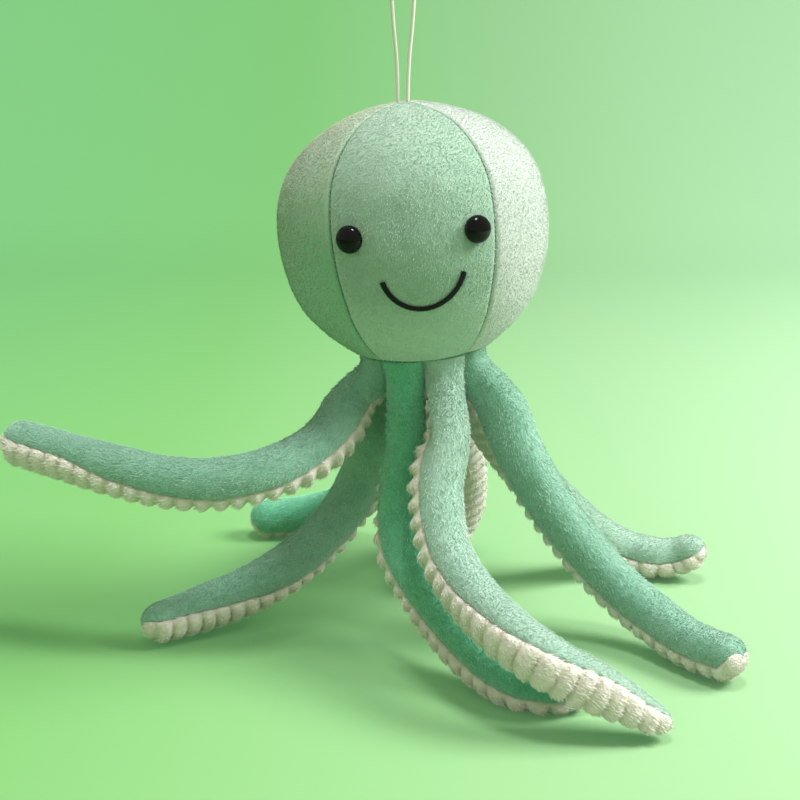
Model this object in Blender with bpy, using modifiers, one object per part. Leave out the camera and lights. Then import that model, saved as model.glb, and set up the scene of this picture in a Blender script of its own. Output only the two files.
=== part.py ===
"""A plush octopus on a hanging loop: a head sewn from four gores, eight stuffed arms and a cord.

The toy faces -Y and hangs from the top of its loop, which is the origin. Sizes are in metres.
"""

from math import ceil, cos, pi, radians, sin, sqrt, tan

import bmesh
import bpy
from mathutils import Matrix, Vector

# Driving dimensions of the head
HEAD_WIDTH = 0.1445
HEAD_HEIGHT = 0.133
NECK_WIDTH = 0.071
HEAD_FABRIC = 0.002
HEAD_LEAN_ANGLE = radians(4.7)
BASE_DISC_THICKNESS = 0.002

# Driving dimensions of the arms
ARM_COUNT = 8
ARM_LENGTH = 0.236
ARM_WIDTH = 0.026
ARM_FABRIC = 0.0016
ARM_ROOT_WIDTH = 0.0196
ARM_ROOT_RING = 0.0245

# Driving dimensions of the face
EYE_WIDTH = 0.014
EYE_DOME = 0.0062
EYE_RIM = 0.0012
SHANK_WIDTH = 0.0044
SHANK_LENGTH = 0.013
SHANK_RIDGE = 0.0004
SHANK_RIDGES = 3
DOME_STEPS = 5
ROUND_STEPS = 16
WASHER_WIDTH = 0.016
WASHER_THICKNESS = 0.0012
SMILE_WIDTH = 0.0028
SMILE_THICKNESS = 0.001

# Driving dimensions of the hanging loop
CORD_WIDTH = 0.002
LOOP_RISE = 0.069
STRAND_SPACING = 0.005
LOOP_WIDTH = 0.0125
KNOT_DEPTH = 0.009
KNOT_WIDTH = 0.0105
KNOT_RISE_SHARE = 1.35
KNOT_ROPE_SHARE = 0.8

# Clearance between pieces that touch, and what a cutter stands proud of what it cuts
SEAM_GAP = 0.0003
STUFFING_GAP = 0.0006
CUT_OVERRUN = 0.002

# Where the head's shape runs, as shares of its half width and of its height, from neck to crown
HEAD_PROFILE_SHARES = (
    (0.486, 0.0),
    (0.61, 0.05),
    (0.755, 0.125),
    (0.885, 0.225),
    (0.97, 0.355),
    (1.0, 0.49),
    (0.98, 0.62),
    (0.91, 0.735),
    (0.765, 0.835),
    (0.56, 0.915),
    (0.32, 0.968),
    (0.15, 0.99),
)
# Where the seams beside the front gore run, in degrees from straight ahead, from neck to crown
FRONT_SEAM_ANGLES = (40.0, 36.0, 34.0, 34.5, 35.5, 37.0, 39.0, 42.0, 45.0)
GORE_COLUMNS = 6
GORE_ROWS = 11

# How thick an arm is along its length: share of the length, share of the full width
ARM_SWELL_SHARES = ((0.0, 0.77), (0.05, 0.84), (0.13, 1.0), (0.35, 0.96), (0.7, 0.92), (1.0, 0.8))
ARM_STATIONS = 12
TIP_STATIONS = 3
# The mint cover goes this far round an arm on each side of its top
COVER_HALF_ANGLE = radians(122)
COVER_COLUMNS = 7
UNDERSIDE_COLUMNS = 4
# The cover narrows to this share of that at the very tip, where the white strip wraps up over it
TIP_COVER_SHARE = 0.5
# Within this share of its length an arm is pressed between its neighbours
CROWDED_SHARE = 0.15
# How far each root can drop before the arm is pressed by the arms beside it
ARM_DROP_ANGLE = radians(12)
# How long each arm came out after stuffing, as a share of the cut length; the others keep it
STRETCH_SHARES = {"front_right": 1.045}

# Each arm's centre line from its root, as shares of the arm's length: outward, sideways, up.
# The last value of each row turns the arm's top about its centre line, in degrees.
ARM_SHARES = {
    "front_left": (
        (0.0, -0.01, -0.155, -20),
        (0.035, -0.02, -0.27, -50),
        (0.085, -0.01, -0.38, -75),
        (0.125, 0.05, -0.46, -75),
        (0.17, 0.12, -0.52, -85),
        (0.22, 0.21, -0.573, -85),
        (0.26, 0.3, -0.597, -75),
        (0.26, 0.375, -0.603, -65),
        (0.225, 0.425, -0.607, -60),
    ),
    "front_right": (
        (0.075, -0.04, -0.13, -45),
        (0.12, -0.085, -0.235, -55),
        (0.19, -0.105, -0.34, -60),
        (0.285, -0.1, -0.405, -60),
        (0.405, -0.08, -0.45, -70),
        (0.49, -0.035, -0.495, -85),
        (0.535, 0.025, -0.54, -100),
        (0.58, 0.1, -0.585, -105),
    ),
    "right_front": (
        (0.075, 0.0, -0.09, 35),
        (0.125, -0.015, -0.205, 30),
        (0.185, 0.0, -0.33, 20),
        (0.25, 0.025, -0.44, 10),
        (0.32, 0.03, -0.525, 0),
        (0.41, 0.01, -0.59, -5),
        (0.51, -0.05, -0.62, -10),
        (0.62, -0.105, -0.625, -30),
    ),
    "right_rear": (
        (0.035, 0.005, -0.115, -5),
        (0.175, 0.05, -0.33, -10),
        (0.35, 0.08, -0.53, -10),
        (0.445, 0.07, -0.605, -15),
        (0.51, 0.02, -0.625, -10),
        (0.56, -0.01, -0.62, -10),
        (0.59, -0.045, -0.6, -10),
    ),
    "rear_right": (
        (0.08, 0.015, -0.165, -20),
        (0.185, 0.03, -0.305, -35),
        (0.28, 0.07, -0.455, -35),
        (0.31, 0.115, -0.55, -25),
        (0.26, 0.135, -0.585, -15),
        (0.14, 0.105, -0.58, -5),
        (0.02, 0.065, -0.575, -5),
    ),
    "rear_left": (
        (0.12, -0.015, -0.215, -35),
        (0.3, -0.025, -0.36, -50),
        (0.43, 0.0, -0.475, -55),
        (0.5, 0.06, -0.52, -55),
        (0.555, 0.15, -0.54, -55),
        (0.595, 0.26, -0.54, -55),
    ),
    "left_rear": (
        (0.045, -0.01, -0.17, -50),
        (0.1, -0.035, -0.295, -60),
        (0.15, -0.005, -0.385, -60),
        (0.2, 0.07, -0.445, -55),
        (0.255, 0.16, -0.485, -40),
        (0.32, 0.24, -0.51, -15),
        (0.385, 0.315, -0.52, -5),
        (0.44, 0.39, -0.52, 5),
    ),
    "left_front": (
        (0.07, -0.015, -0.055, 20),
        (0.135, 0.01, -0.115, 25),
        (0.215, 0.04, -0.15, 30),
        (0.32, 0.05, -0.17, 15),
        (0.43, 0.025, -0.175, 10),
        (0.53, -0.015, -0.16, 20),
        (0.625, -0.07, -0.13, 25),
        (0.71, -0.135, -0.1, 50),
        (0.785, -0.2, -0.075, 60),
    ),
}

# Where the eyes and the smile sit on the head: turned from straight ahead, share of the height
EYE_ANGLE = radians(25.4)
EYE_HEIGHT_SHARE = 0.538
SMILE_CENTRE_ANGLE = radians(2.6)
SMILE_HALF_ANGLE = radians(16.4)
SMILE_END_SHARE = 0.373
SMILE_DIP_SHARE = 0.26
SMILE_STEPS = 16

# Worked out from the sizes above
CROWN_OPENING = (STRAND_SPACING + CORD_WIDTH) / 2 + 2 * SEAM_GAP
ROOT_BALL = ARM_ROOT_WIDTH / 2
ROOT_DROP = ROOT_BALL + SEAM_GAP
TIP_RADIUS = ARM_SWELL_SHARES[-1][1] * ARM_WIDTH / 2
SECTOR = 2 * pi / ARM_COUNT


def clear_scene():
    """Start from nothing."""
    for item in list(bpy.data.objects):
        bpy.data.objects.remove(item, do_unlink=True)


def make_collection(name):
    """A collection linked to the scene."""
    collection = bpy.data.collections.new(name)
    bpy.context.scene.collection.children.link(collection)
    return collection


def make_material(name, colour, roughness):
    """A plain Principled material in the photographed colour."""
    material = bpy.data.materials.new(name)
    material.use_nodes = True
    shader = material.node_tree.nodes["Principled BSDF"]
    shader.inputs["Base Color"].default_value = (*colour, 1.0)
    shader.inputs["Roughness"].default_value = roughness
    shader.inputs["Metallic"].default_value = 0.0
    return material


clear_scene()
TOY = make_collection("plush_octopus")
CUTTERS = make_collection("cutters")

MINT_PILE = make_material("mint_pile", (0.27, 0.55, 0.42), 0.9)
PALE_MINT_PILE = make_material("pale_mint_pile", (0.48, 0.68, 0.56), 0.9)
WHITE_RIB_PILE = make_material("white_rib_pile", (0.80, 0.77, 0.68), 0.9)
POLYESTER_FILL = make_material("polyester_fill", (0.86, 0.86, 0.84), 1.0)
BLACK_PLASTIC = make_material("black_plastic", (0.01, 0.01, 0.012), 0.12)
WASHER_PLASTIC = make_material("washer_plastic", (0.75, 0.75, 0.73), 0.45)
BLACK_THREAD = make_material("black_thread", (0.015, 0.014, 0.014), 0.6)
CREAM_CORD = make_material("cream_cord", (0.78, 0.74, 0.66), 0.85)


def curve_through(points, steps):
    """A Catmull-Rom curve through the points, with this many steps between neighbours."""
    rows = [Vector(p) for p in points]
    rows = [2 * rows[0] - rows[1]] + rows + [2 * rows[-1] - rows[-2]]
    curve = []
    for a, b, c, d in zip(rows, rows[1:], rows[2:], rows[3:]):
        for i in range(steps):
            t = i / steps
            curve.append(
                b
                + (c - a) * (t / 2)
                + (2 * a - 5 * b + 4 * c - d) * (t * t / 2)
                + (3 * b - a - 3 * c + d) * (t * t * t / 2)
            )
    curve.append(rows[-2])
    return curve


def between(table, share):
    """Read a table of (share, value) rows at any share, in straight lines."""
    if share <= table[0][0]:
        return table[0][1]
    for (s0, v0), (s1, v1) in zip(table, table[1:]):
        if share <= s1:
            return v0 + (v1 - v0) * (share - s0) / (s1 - s0)
    return table[-1][1]


def new_object(name, mesh, material, parent, collection=TOY):
    """Link a mesh as an object under its parent."""
    item = bpy.data.objects.new(name, mesh)
    item.parent = parent
    if material is not None:
        mesh.materials.append(material)
    collection.objects.link(item)
    return item


def new_empty(name, parent, matrix):
    """An empty that carries pieces: a frame or a hinge."""
    item = bpy.data.objects.new(name, None)
    item.parent = parent
    item.matrix_local = matrix
    item.hide_render = True
    TOY.objects.link(item)
    return item


def finish_mesh(name, mesh):
    """Turn a bmesh's faces outwards and keep it as mesh data."""
    bmesh.ops.recalc_face_normals(mesh, faces=mesh.faces)
    data = bpy.data.meshes.new(name)
    mesh.to_mesh(data)
    mesh.free()
    return data


def skin(mesh, near, far):
    """Quads between two rows of vertices; a row of one vertex is a pole."""
    for i in range(max(len(near), len(far)) - 1):
        corners = [near[i], near[i + 1]] if len(near) > 1 else [near[0]]
        corners += [far[i + 1], far[i]] if len(far) > 1 else [far[0]]
        mesh.faces.new(corners)


def shell_mesh(name, outer, inner):
    """A sheet of fabric with its thickness: outer face, inner face and the cut edge all round."""
    mesh = bmesh.new()
    faces = [[[mesh.verts.new(p) for p in row] for row in rows] for rows in (outer, inner)]
    for rows in faces:
        for near, far in zip(rows, rows[1:]):
            skin(mesh, near, far)
    for end in (0, -1):
        if len(faces[0][end]) > 1:
            skin(mesh, faces[0][end], faces[1][end])
        skin(mesh, [row[end] for row in faces[0]], [row[end] for row in faces[1]])
    return finish_mesh(name, mesh)


def loft_mesh(name, rings):
    """A closed body through rings of points; a ring of one point is a pole."""
    mesh = bmesh.new()
    made = [[mesh.verts.new(p) for p in ring] for ring in rings]
    for near, far in zip(made, made[1:]):
        skin(mesh, near + near[:1] if len(near) > 1 else near, far + far[:1] if len(far) > 1 else far)
    for ring in (made[0], made[-1]):
        if len(ring) > 1:
            mesh.faces.new(ring)
    return finish_mesh(name, mesh)


def turned(name, profile, steps, material, parent, matrix):
    """A body turned about its own Z axis from a profile that runs from the top down."""
    mesh = bpy.data.meshes.new(name)
    mesh.from_pydata([(r, 0.0, z) for r, z in profile], [(i, i + 1) for i in range(len(profile) - 1)], [])
    item = new_object(name, mesh, material, parent)
    item.matrix_local = matrix
    screw = item.modifiers.new("turn", "SCREW")
    screw.steps = steps
    screw.render_steps = steps
    screw.use_merge_vertices = True
    screw.merge_threshold = 0.00001
    screw.use_smooth_shade = True
    return item


def cutter(name, radius, bottom, top, parent, matrix):
    """A round cutter between two heights on its own Z axis."""
    mesh = bmesh.new()
    bmesh.ops.create_cone(
        mesh, cap_ends=True, segments=ROUND_STEPS, radius1=radius, radius2=radius, depth=top - bottom
    )
    data = bpy.data.meshes.new(name)
    mesh.to_mesh(data)
    mesh.free()
    item = new_object(name, data, None, parent, CUTTERS)
    item.matrix_local = matrix @ Matrix.Translation((0, 0, (top + bottom) / 2))
    item.hide_render = True
    item.display_type = "WIRE"
    return item


def cut(item, tool):
    """Take a cutter's shape out of a piece."""
    boolean = item.modifiers.new(tool.name, "BOOLEAN")
    boolean.operation = "DIFFERENCE"
    boolean.solver = "EXACT"
    boolean.object = tool


# The head's frame has its origin at the neck's centre and +Z to the crown
HEAD = new_empty(
    "head_frame",
    None,
    Matrix.Translation((sin(HEAD_LEAN_ANGLE) * HEAD_HEIGHT, 0, -LOOP_RISE - cos(HEAD_LEAN_ANGLE) * HEAD_HEIGHT))
    @ Matrix.Rotation(-HEAD_LEAN_ANGLE, 4, "Y"),
)


def head_profile():
    """The gores' outer shape from neck to crown, as (radius, height), evenly stepped."""
    points = [(r * HEAD_WIDTH / 2, h * HEAD_HEIGHT, 0) for r, h in HEAD_PROFILE_SHARES]
    points[0] = (NECK_WIDTH / 2, 0, 0)
    points.append((CROWN_OPENING, HEAD_HEIGHT, 0))
    fine = curve_through(points, 8)
    lengths = [0.0]
    for a, b in zip(fine, fine[1:]):
        lengths.append(lengths[-1] + (b - a).length)
    table = list(zip((d / lengths[-1] for d in lengths), fine))
    return [between(table, i / GORE_ROWS).xy for i in range(GORE_ROWS + 1)]


def inset(profile, depth):
    """The same profile moved inwards by a depth."""
    moved = []
    for i, here in enumerate(profile):
        along = profile[min(i + 1, len(profile) - 1)] - profile[max(i - 1, 0)]
        along.normalize()
        moved.append(here - Vector((along.y, -along.x)) * depth)
    return moved


def head_point(profile, azimuth, height, proud):
    """A point on the head and the frame there, whose +Z points out of the head."""
    for low, high in zip(profile, profile[1:]):
        if height <= high.y:
            break
    share = (height - low.y) / (high.y - low.y)
    spot = low.lerp(high, share)
    along = (high - low).normalized()
    ahead = Vector((sin(azimuth), -cos(azimuth), 0))
    normal = ahead * along.y - Vector((0, 0, 1)) * along.x
    across = Vector((cos(azimuth), sin(azimuth), 0))
    place = ahead * spot.x + Vector((0, 0, spot.y)) + normal * proud
    return Matrix.Translation(place) @ Matrix((across, normal.cross(across), normal)).transposed().to_4x4()


def seam_angle(row):
    """The front gore's half angle at a row between neck and crown."""
    table = [(i / (len(FRONT_SEAM_ANGLES) - 1), a) for i, a in enumerate(FRONT_SEAM_ANGLES)]
    return radians(between(table, row / GORE_ROWS))


def gore_span(side, row):
    """The first and last azimuth of a gore at a row; side counts the gores from the front."""
    half = seam_angle(row)
    spans = ((-half, half), (half, pi - half), (pi - half, pi + half), (pi + half, 2 * pi - half))
    return spans[side]


def gore_rows(outline, side):
    """One gore's points on a profile, short of its seams by half the seam gap."""
    rows = []
    for row, (radius, height) in enumerate(outline):
        first, last = gore_span(side, row)
        first += SEAM_GAP / 2 / radius
        last -= SEAM_GAP / 2 / radius
        angles = [first + (last - first) * i / GORE_COLUMNS for i in range(GORE_COLUMNS + 1)]
        rows.append([(radius * sin(a), -radius * cos(a), height) for a in angles])
    return rows


def make_head():
    """Four gores from neck to crown, the disc that closes the neck, and the fill."""
    profile = head_profile()
    lining = inset(profile, HEAD_FABRIC)
    names = ("head_front_panel", "head_right_panel", "head_back_panel", "head_left_panel")
    panels = []
    for side, name in enumerate(names):
        material = PALE_MINT_PILE if side % 2 else MINT_PILE
        mesh = shell_mesh(name, gore_rows(profile, side), gore_rows(lining, side))
        panels.append(new_object(name, mesh, material, HEAD))

    rings = []
    for row, (radius, height) in enumerate(inset(profile, HEAD_FABRIC + STUFFING_GAP)):
        angles = []
        for side in range(len(names)):
            first, last = gore_span(side, row)
            angles += [first + (last - first) * i / GORE_COLUMNS for i in range(GORE_COLUMNS)]
        height = max(height, BASE_DISC_THICKNESS + SEAM_GAP)
        rings.append([(radius * sin(a), -radius * cos(a), height) for a in angles])
    fill = new_object("head_stuffing", loft_mesh("head_stuffing", rings), POLYESTER_FILL, HEAD)

    bpy.ops.mesh.primitive_cylinder_add(
        vertices=len(names) * GORE_COLUMNS,
        radius=NECK_WIDTH / 2 - HEAD_FABRIC,
        depth=BASE_DISC_THICKNESS,
    )
    disc = bpy.context.object
    disc.name = "base_disc"
    disc.data.name = "base_disc"
    disc.data.materials.append(MINT_PILE)
    for owner in list(disc.users_collection):
        owner.objects.unlink(disc)
    TOY.objects.link(disc)
    disc.parent = HEAD
    disc.location = (0, 0, BASE_DISC_THICKNESS / 2)
    return profile, panels[0], fill


def make_eyes(profile, front_panel, fill):
    """Two safety eyes: a dome on a ridged shank through the front gore, locked by a washer."""
    radius = EYE_WIDTH / 2
    shank = SHANK_WIDTH / 2
    facet = 1.3 * HEAD_WIDTH * (1 - cos(pi / GORE_COLUMNS / 4))
    washer_depth = HEAD_FABRIC + WASHER_WIDTH**2 / 4 / HEAD_WIDTH + facet + SEAM_GAP
    for side, name in ((-1, "eye_left"), (1, "eye_right")):
        place = head_point(profile, side * EYE_ANGLE, EYE_HEIGHT_SHARE * HEAD_HEIGHT, SEAM_GAP)
        dome = []
        for i in range(DOME_STEPS + 1):
            angle = pi / 2 * i / DOME_STEPS
            dome.append((radius * sin(angle), EYE_RIM + (EYE_DOME - EYE_RIM) * cos(angle)))
        back = [(radius - EYE_RIM / 2, 0.0), (shank, 0.0)]
        ridges = []
        for i in range(SHANK_RIDGES):
            z = -washer_depth - WASHER_THICKNESS - (2 * i + 1) * WASHER_THICKNESS
            ridges += [(shank, z), (shank + SHANK_RIDGE, z - SHANK_RIDGE), (shank, z - 2 * SHANK_RIDGE)]
        tip = [(shank, -SHANK_LENGTH + SHANK_RIDGE), (shank - SHANK_RIDGE, -SHANK_LENGTH), (0.0, -SHANK_LENGTH)]
        turned(name, dome + back + ridges + tip, ROUND_STEPS, BLACK_PLASTIC, HEAD, place)

        bore = shank + SEAM_GAP
        low = -washer_depth - WASHER_THICKNESS
        ring = [(bore, -washer_depth), (WASHER_WIDTH / 2, -washer_depth), (WASHER_WIDTH / 2, low), (bore, low)]
        turned(name + "_washer", ring + [(bore, -washer_depth)], ROUND_STEPS, WASHER_PLASTIC, HEAD, place)

        hole = cutter(name + "_hole", bore, -HEAD_FABRIC - CUT_OVERRUN, CUT_OVERRUN, HEAD, place)
        cut(front_panel, hole)
        floor = -SHANK_LENGTH - SEAM_GAP
        pocket = cutter(name + "_pocket", WASHER_WIDTH / 2 + SEAM_GAP, floor, CUT_OVERRUN, HEAD, place)
        cut(fill, pocket)


def make_smile(profile):
    """The mouth: one band of satin stitch that lies on the front gore."""
    rows = []
    for i in range(SMILE_STEPS + 1):
        turn = 2 * i / SMILE_STEPS - 1
        azimuth = SMILE_CENTRE_ANGLE + SMILE_HALF_ANGLE * turn
        bend = SMILE_DIP_SHARE + (SMILE_END_SHARE - SMILE_DIP_SHARE) * (0.75 * turn**2 + 0.25 * turn**4)
        rows.append(head_point(profile, azimuth, bend * HEAD_HEIGHT, SEAM_GAP + SMILE_THICKNESS))
    faces = [[], []]
    for i, here in enumerate(rows):
        along = rows[min(i + 1, SMILE_STEPS)].translation - rows[max(i - 1, 0)].translation
        normal = here.col[2].xyz
        side = normal.cross(along).normalized() * SMILE_WIDTH / 2
        for face, depth in zip(faces, (0.0, SMILE_THICKNESS)):
            spot = here.translation - normal * depth
            face.append([spot - side, spot, spot + side])
    mesh = shell_mesh("smile_embroidery", *faces)
    new_object("smile_embroidery", mesh, BLACK_THREAD, HEAD)


def tube(name, points, radius, resolution, material):
    """A cord: a curve with a round section and closed ends."""
    data = bpy.data.curves.new(name, "CURVE")
    data.dimensions = "3D"
    data.bevel_depth = radius
    data.bevel_resolution = resolution
    data.use_fill_caps = True
    data.materials.append(material)
    spline = data.splines.new("POLY")
    spline.points.add(len(points) - 1)
    for spot, place in zip(spline.points, points):
        spot.co = (*place, 1.0)
    item = bpy.data.objects.new(name, data)
    TOY.objects.link(item)
    return item


def make_loop(fill):
    """The loop: up from the knot, out of the crown, round at the top and down again."""
    knot_top = -LOOP_RISE - KNOT_DEPTH
    bend = LOOP_WIDTH / 2
    rising = [
        (-CORD_WIDTH / 2 - SEAM_GAP, 0, knot_top + SEAM_GAP),
        (-CORD_WIDTH, 0, -LOOP_RISE - KNOT_DEPTH / 2),
        (-STRAND_SPACING / 2, 0, -LOOP_RISE),
        (-STRAND_SPACING * 0.65, 0, -LOOP_RISE * 0.7),
        (-LOOP_WIDTH * 0.41, 0, -LOOP_RISE * 0.4),
        (-bend, 0, -bend),
    ]
    turn = [(-bend * cos(pi * i / 6), 0, -bend + bend * sin(pi * i / 6)) for i in range(1, 6)]
    route = rising + turn + [(-x, y, z) for x, y, z in reversed(rising)]
    fine = curve_through(route, 12)
    tube("hang_loop", evenly(fine, 2.2 * CORD_WIDTH), CORD_WIDTH / 2, 2, CREAM_CORD)

    # An overhand knot in the doubled cord: a trefoil, opened where the cord goes in and out
    rope = KNOT_ROPE_SHARE * CORD_WIDTH
    reach = (KNOT_WIDTH / 2 - rope) / 3
    rise = KNOT_RISE_SHARE * reach
    knot = []
    for i in range(25):
        t = 2 * pi * (i + 1.2) / 26.4
        knot.append(
            Vector(
                (
                    reach * (sin(t) + 2 * sin(2 * t)),
                    reach * (cos(t) - 2 * cos(2 * t)),
                    -rise * sin(3 * t),
                )
            )
        )
    centre = Vector((0, 0, knot_top - rise - rope))
    tube("loop_knot", [centre + p for p in knot], rope, 1, CREAM_CORD)

    tool = cutter(
        "knot_hollow",
        KNOT_WIDTH / 2 + rope,
        knot_top - 2 * (rise + rope) - SEAM_GAP,
        -LOOP_RISE + CUT_OVERRUN,
        None,
        Matrix(),
    )
    cut(fill, tool)


def evenly(points, spacing):
    """Points about this far apart along a polyline, ends included."""
    lengths = [0.0]
    for a, b in zip(points, points[1:]):
        lengths.append(lengths[-1] + (b - a).length)
    count = ceil(lengths[-1] / spacing)
    table = list(zip(lengths, points))
    return [between(table, lengths[-1] * i / count) for i in range(count + 1)]


def arm_line(shares):
    """The arm's centre line with its top direction: rows of (distance, point, along, top)."""
    rows = [Vector((0, 0, 0))] + [Vector(row[:3]) * ARM_LENGTH for row in shares]
    steps = 12
    points = curve_through(rows, steps)
    turns = [(0.0, radians(shares[0][3]))]
    turns += [(i + 1.0, radians(row[3])) for i, row in enumerate(shares)]
    start = (points[1] - points[0]).normalized()
    line = []
    distance = 0.0
    top = Vector((1, 0, 0))
    for i, here in enumerate(points):
        along = (points[min(i + 1, len(points) - 1)] - points[max(i - 1, 0)]).normalized()
        top = (top - along * top.dot(along)).normalized()
        if i:
            distance += (here - points[i - 1]).length
        turned_top = Matrix.Rotation(between(turns, i / steps), 3, along) @ top
        line.append((distance, here.copy(), along, turned_top))
    first = line[0]
    line.insert(0, (-ARM_LENGTH, -start * ARM_LENGTH, start, first[3]))
    last = line[-1]
    line.append((last[0] + ARM_LENGTH, last[1] + last[2] * ARM_LENGTH, last[2], last[3]))
    return line


def arm_station(line, distance):
    """Point, direction and top of the arm at a distance from its root."""
    for low, high in zip(line, line[1:]):
        if distance <= high[0]:
            break
    share = (distance - low[0]) / (high[0] - low[0])
    point = low[1].lerp(high[1], share)
    along = low[2].lerp(high[2], share).normalized()
    top = low[3].lerp(high[3], share)
    top = (top - along * top.dot(along)).normalized()
    return point, along, top


def arm_radius(distance, depth, length):
    """The arm's radius at a depth under its face: a ball at the root, full thickness, a round tip."""
    if distance < 0:
        return sqrt(max((ROOT_BALL - depth) ** 2 - distance**2, 0.0))
    full = between(ARM_SWELL_SHARES, distance / length) * ARM_WIDTH / 2 - depth
    into_tip = distance - (length - TIP_RADIUS)
    if into_tip > 0:
        return full * sqrt(max(1 - (into_tip / (TIP_RADIUS - depth)) ** 2, 0.0))
    return full


def arm_distances(depth, length):
    """Where the arm's sections stand: close at the ball root and round the tip."""
    body = length - TIP_RADIUS
    distances = [-(ROOT_BALL - depth) * share for share in (0.8, 0.4)]
    distances += [body * i / ARM_STATIONS for i in range(ARM_STATIONS + 1)]
    for i in range(1, TIP_STATIONS + 1):
        distances.append(body + (TIP_RADIUS - depth) * sin(pi / 2 * i / TIP_STATIONS))
    return distances


def pressed(point, depth):
    """Keep a point of a root inside its own sector of the ring, also with the arm dropped."""
    drop = ARM_DROP_ANGLE
    inmost = min(point.x, point.x * cos(drop) + point.z * sin(drop))
    room = (ARM_ROOT_RING + inmost) * tan(SECTOR / 2) - SEAM_GAP / 2 / cos(SECTOR / 2) - depth
    return Vector((point.x, max(-room, min(room, point.y)), point.z))


def arm_ring(line, length, distance, angles, depth, shift):
    """One section of an arm, at a depth under its outer face."""
    point, along, top = arm_station(line, distance)
    across = along.cross(top)
    radius = arm_radius(distance, depth, length)
    centre = point + top * shift
    ring = []
    for angle in angles:
        spot = centre + (top * cos(angle) + across * sin(angle)) * radius
        if distance < CROWDED_SHARE * ARM_LENGTH:
            spot = pressed(spot, depth)
        ring.append(spot)
    return ring if radius > SEAM_GAP else [centre]


def cover_angles(distance, length):
    """The angles of the cover's points in one section, from seam to seam over the arm's top."""
    into_tip = max(0.0, (distance - (length - TIP_RADIUS)) / TIP_RADIUS)
    turn = COVER_HALF_ANGLE * (1 - (1 - TIP_COVER_SHARE) * into_tip)
    return [-turn + 2 * turn * i / COVER_COLUMNS for i in range(COVER_COLUMNS + 1)]


def underside_angles(distance, length):
    """The angles of the white strip's points in one section, the rest of the way round."""
    turn = cover_angles(distance, length)[-1]
    rest = 2 * pi - 2 * turn
    return [turn + rest * i / UNDERSIDE_COLUMNS for i in range(UNDERSIDE_COLUMNS + 1)]


def all_angles(distance, length):
    """The angles of the points all the way round one section."""
    return cover_angles(distance, length) + underside_angles(distance, length)[1:-1]


def make_arm(place, shares, hinge):
    """One arm on its hinge: mint cover, ribbed white underside and fill."""
    line = arm_line(shares)
    length = ARM_LENGTH * STRETCH_SHARES.get(place, 1.0)
    pieces = (
        ("top", cover_angles, SEAM_GAP, MINT_PILE),
        ("underside", underside_angles, -SEAM_GAP, WHITE_RIB_PILE),
    )
    for piece, angles, shift, material in pieces:
        name = f"arm_{place}_{piece}"
        faces = []
        for depth in (0.0, ARM_FABRIC):
            rows = arm_distances(depth, length)
            faces.append([arm_ring(line, length, d, angles(d, length), depth, shift) for d in rows])
        new_object(name, shell_mesh(name, *faces), material, hinge)

    name = f"arm_{place}_stuffing"
    depth = ARM_FABRIC + STUFFING_GAP
    rows = [depth - ROOT_BALL] + arm_distances(depth, length)
    rings = [arm_ring(line, length, d, all_angles(d, length), depth, 0.0) for d in rows]
    new_object(name, loft_mesh(name, rings), POLYESTER_FILL, hinge)


def make_arms():
    """Eight arms round the neck, each under a hinge whose axis is its local Y."""
    for i, (place, shares) in enumerate(ARM_SHARES.items()):
        azimuth = -SECTOR / 2 + SECTOR * i
        matrix = Matrix.Rotation(azimuth - pi / 2, 4, "Z") @ Matrix.Translation((ARM_ROOT_RING, 0, -ROOT_DROP))
        hinge = new_empty(f"arm_{place}_hinge", HEAD, matrix)
        make_arm(place, shares, hinge)


profile_of_head, front, head_fill = make_head()
make_eyes(profile_of_head, front, head_fill)
make_smile(profile_of_head)
make_loop(head_fill)
make_arms()
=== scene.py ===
"""A plush octopus on a hanging loop, dressed over its frame: pile, ribs, seams, stitches and cord.

Sizes are in metres. The toy faces -Y and hangs from the top of its loop, which is the origin.
"""

from math import cos, pi, radians, sin, sqrt, tan

import bmesh
import bpy
from mathutils import Matrix, Vector, noise


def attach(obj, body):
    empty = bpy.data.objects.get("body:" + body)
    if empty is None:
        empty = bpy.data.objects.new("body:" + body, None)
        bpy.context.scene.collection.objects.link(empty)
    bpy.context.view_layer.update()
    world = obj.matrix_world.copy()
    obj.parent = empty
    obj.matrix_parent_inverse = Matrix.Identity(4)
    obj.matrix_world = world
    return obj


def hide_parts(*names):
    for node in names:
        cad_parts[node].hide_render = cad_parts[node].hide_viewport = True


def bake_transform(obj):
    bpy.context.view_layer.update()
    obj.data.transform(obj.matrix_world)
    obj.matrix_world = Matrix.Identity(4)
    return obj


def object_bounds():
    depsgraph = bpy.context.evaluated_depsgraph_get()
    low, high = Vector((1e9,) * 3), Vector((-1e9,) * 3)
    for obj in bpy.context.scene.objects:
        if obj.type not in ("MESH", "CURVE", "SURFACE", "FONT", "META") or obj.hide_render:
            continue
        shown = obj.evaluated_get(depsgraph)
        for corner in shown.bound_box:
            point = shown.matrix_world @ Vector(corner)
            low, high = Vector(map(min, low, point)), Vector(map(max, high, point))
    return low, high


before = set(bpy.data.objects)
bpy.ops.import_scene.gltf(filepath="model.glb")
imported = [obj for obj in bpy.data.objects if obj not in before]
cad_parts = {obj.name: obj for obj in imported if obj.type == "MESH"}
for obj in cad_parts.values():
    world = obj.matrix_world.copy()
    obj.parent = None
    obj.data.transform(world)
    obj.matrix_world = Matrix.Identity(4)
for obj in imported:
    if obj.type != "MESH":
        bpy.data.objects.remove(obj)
cad_low, cad_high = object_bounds()

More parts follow.
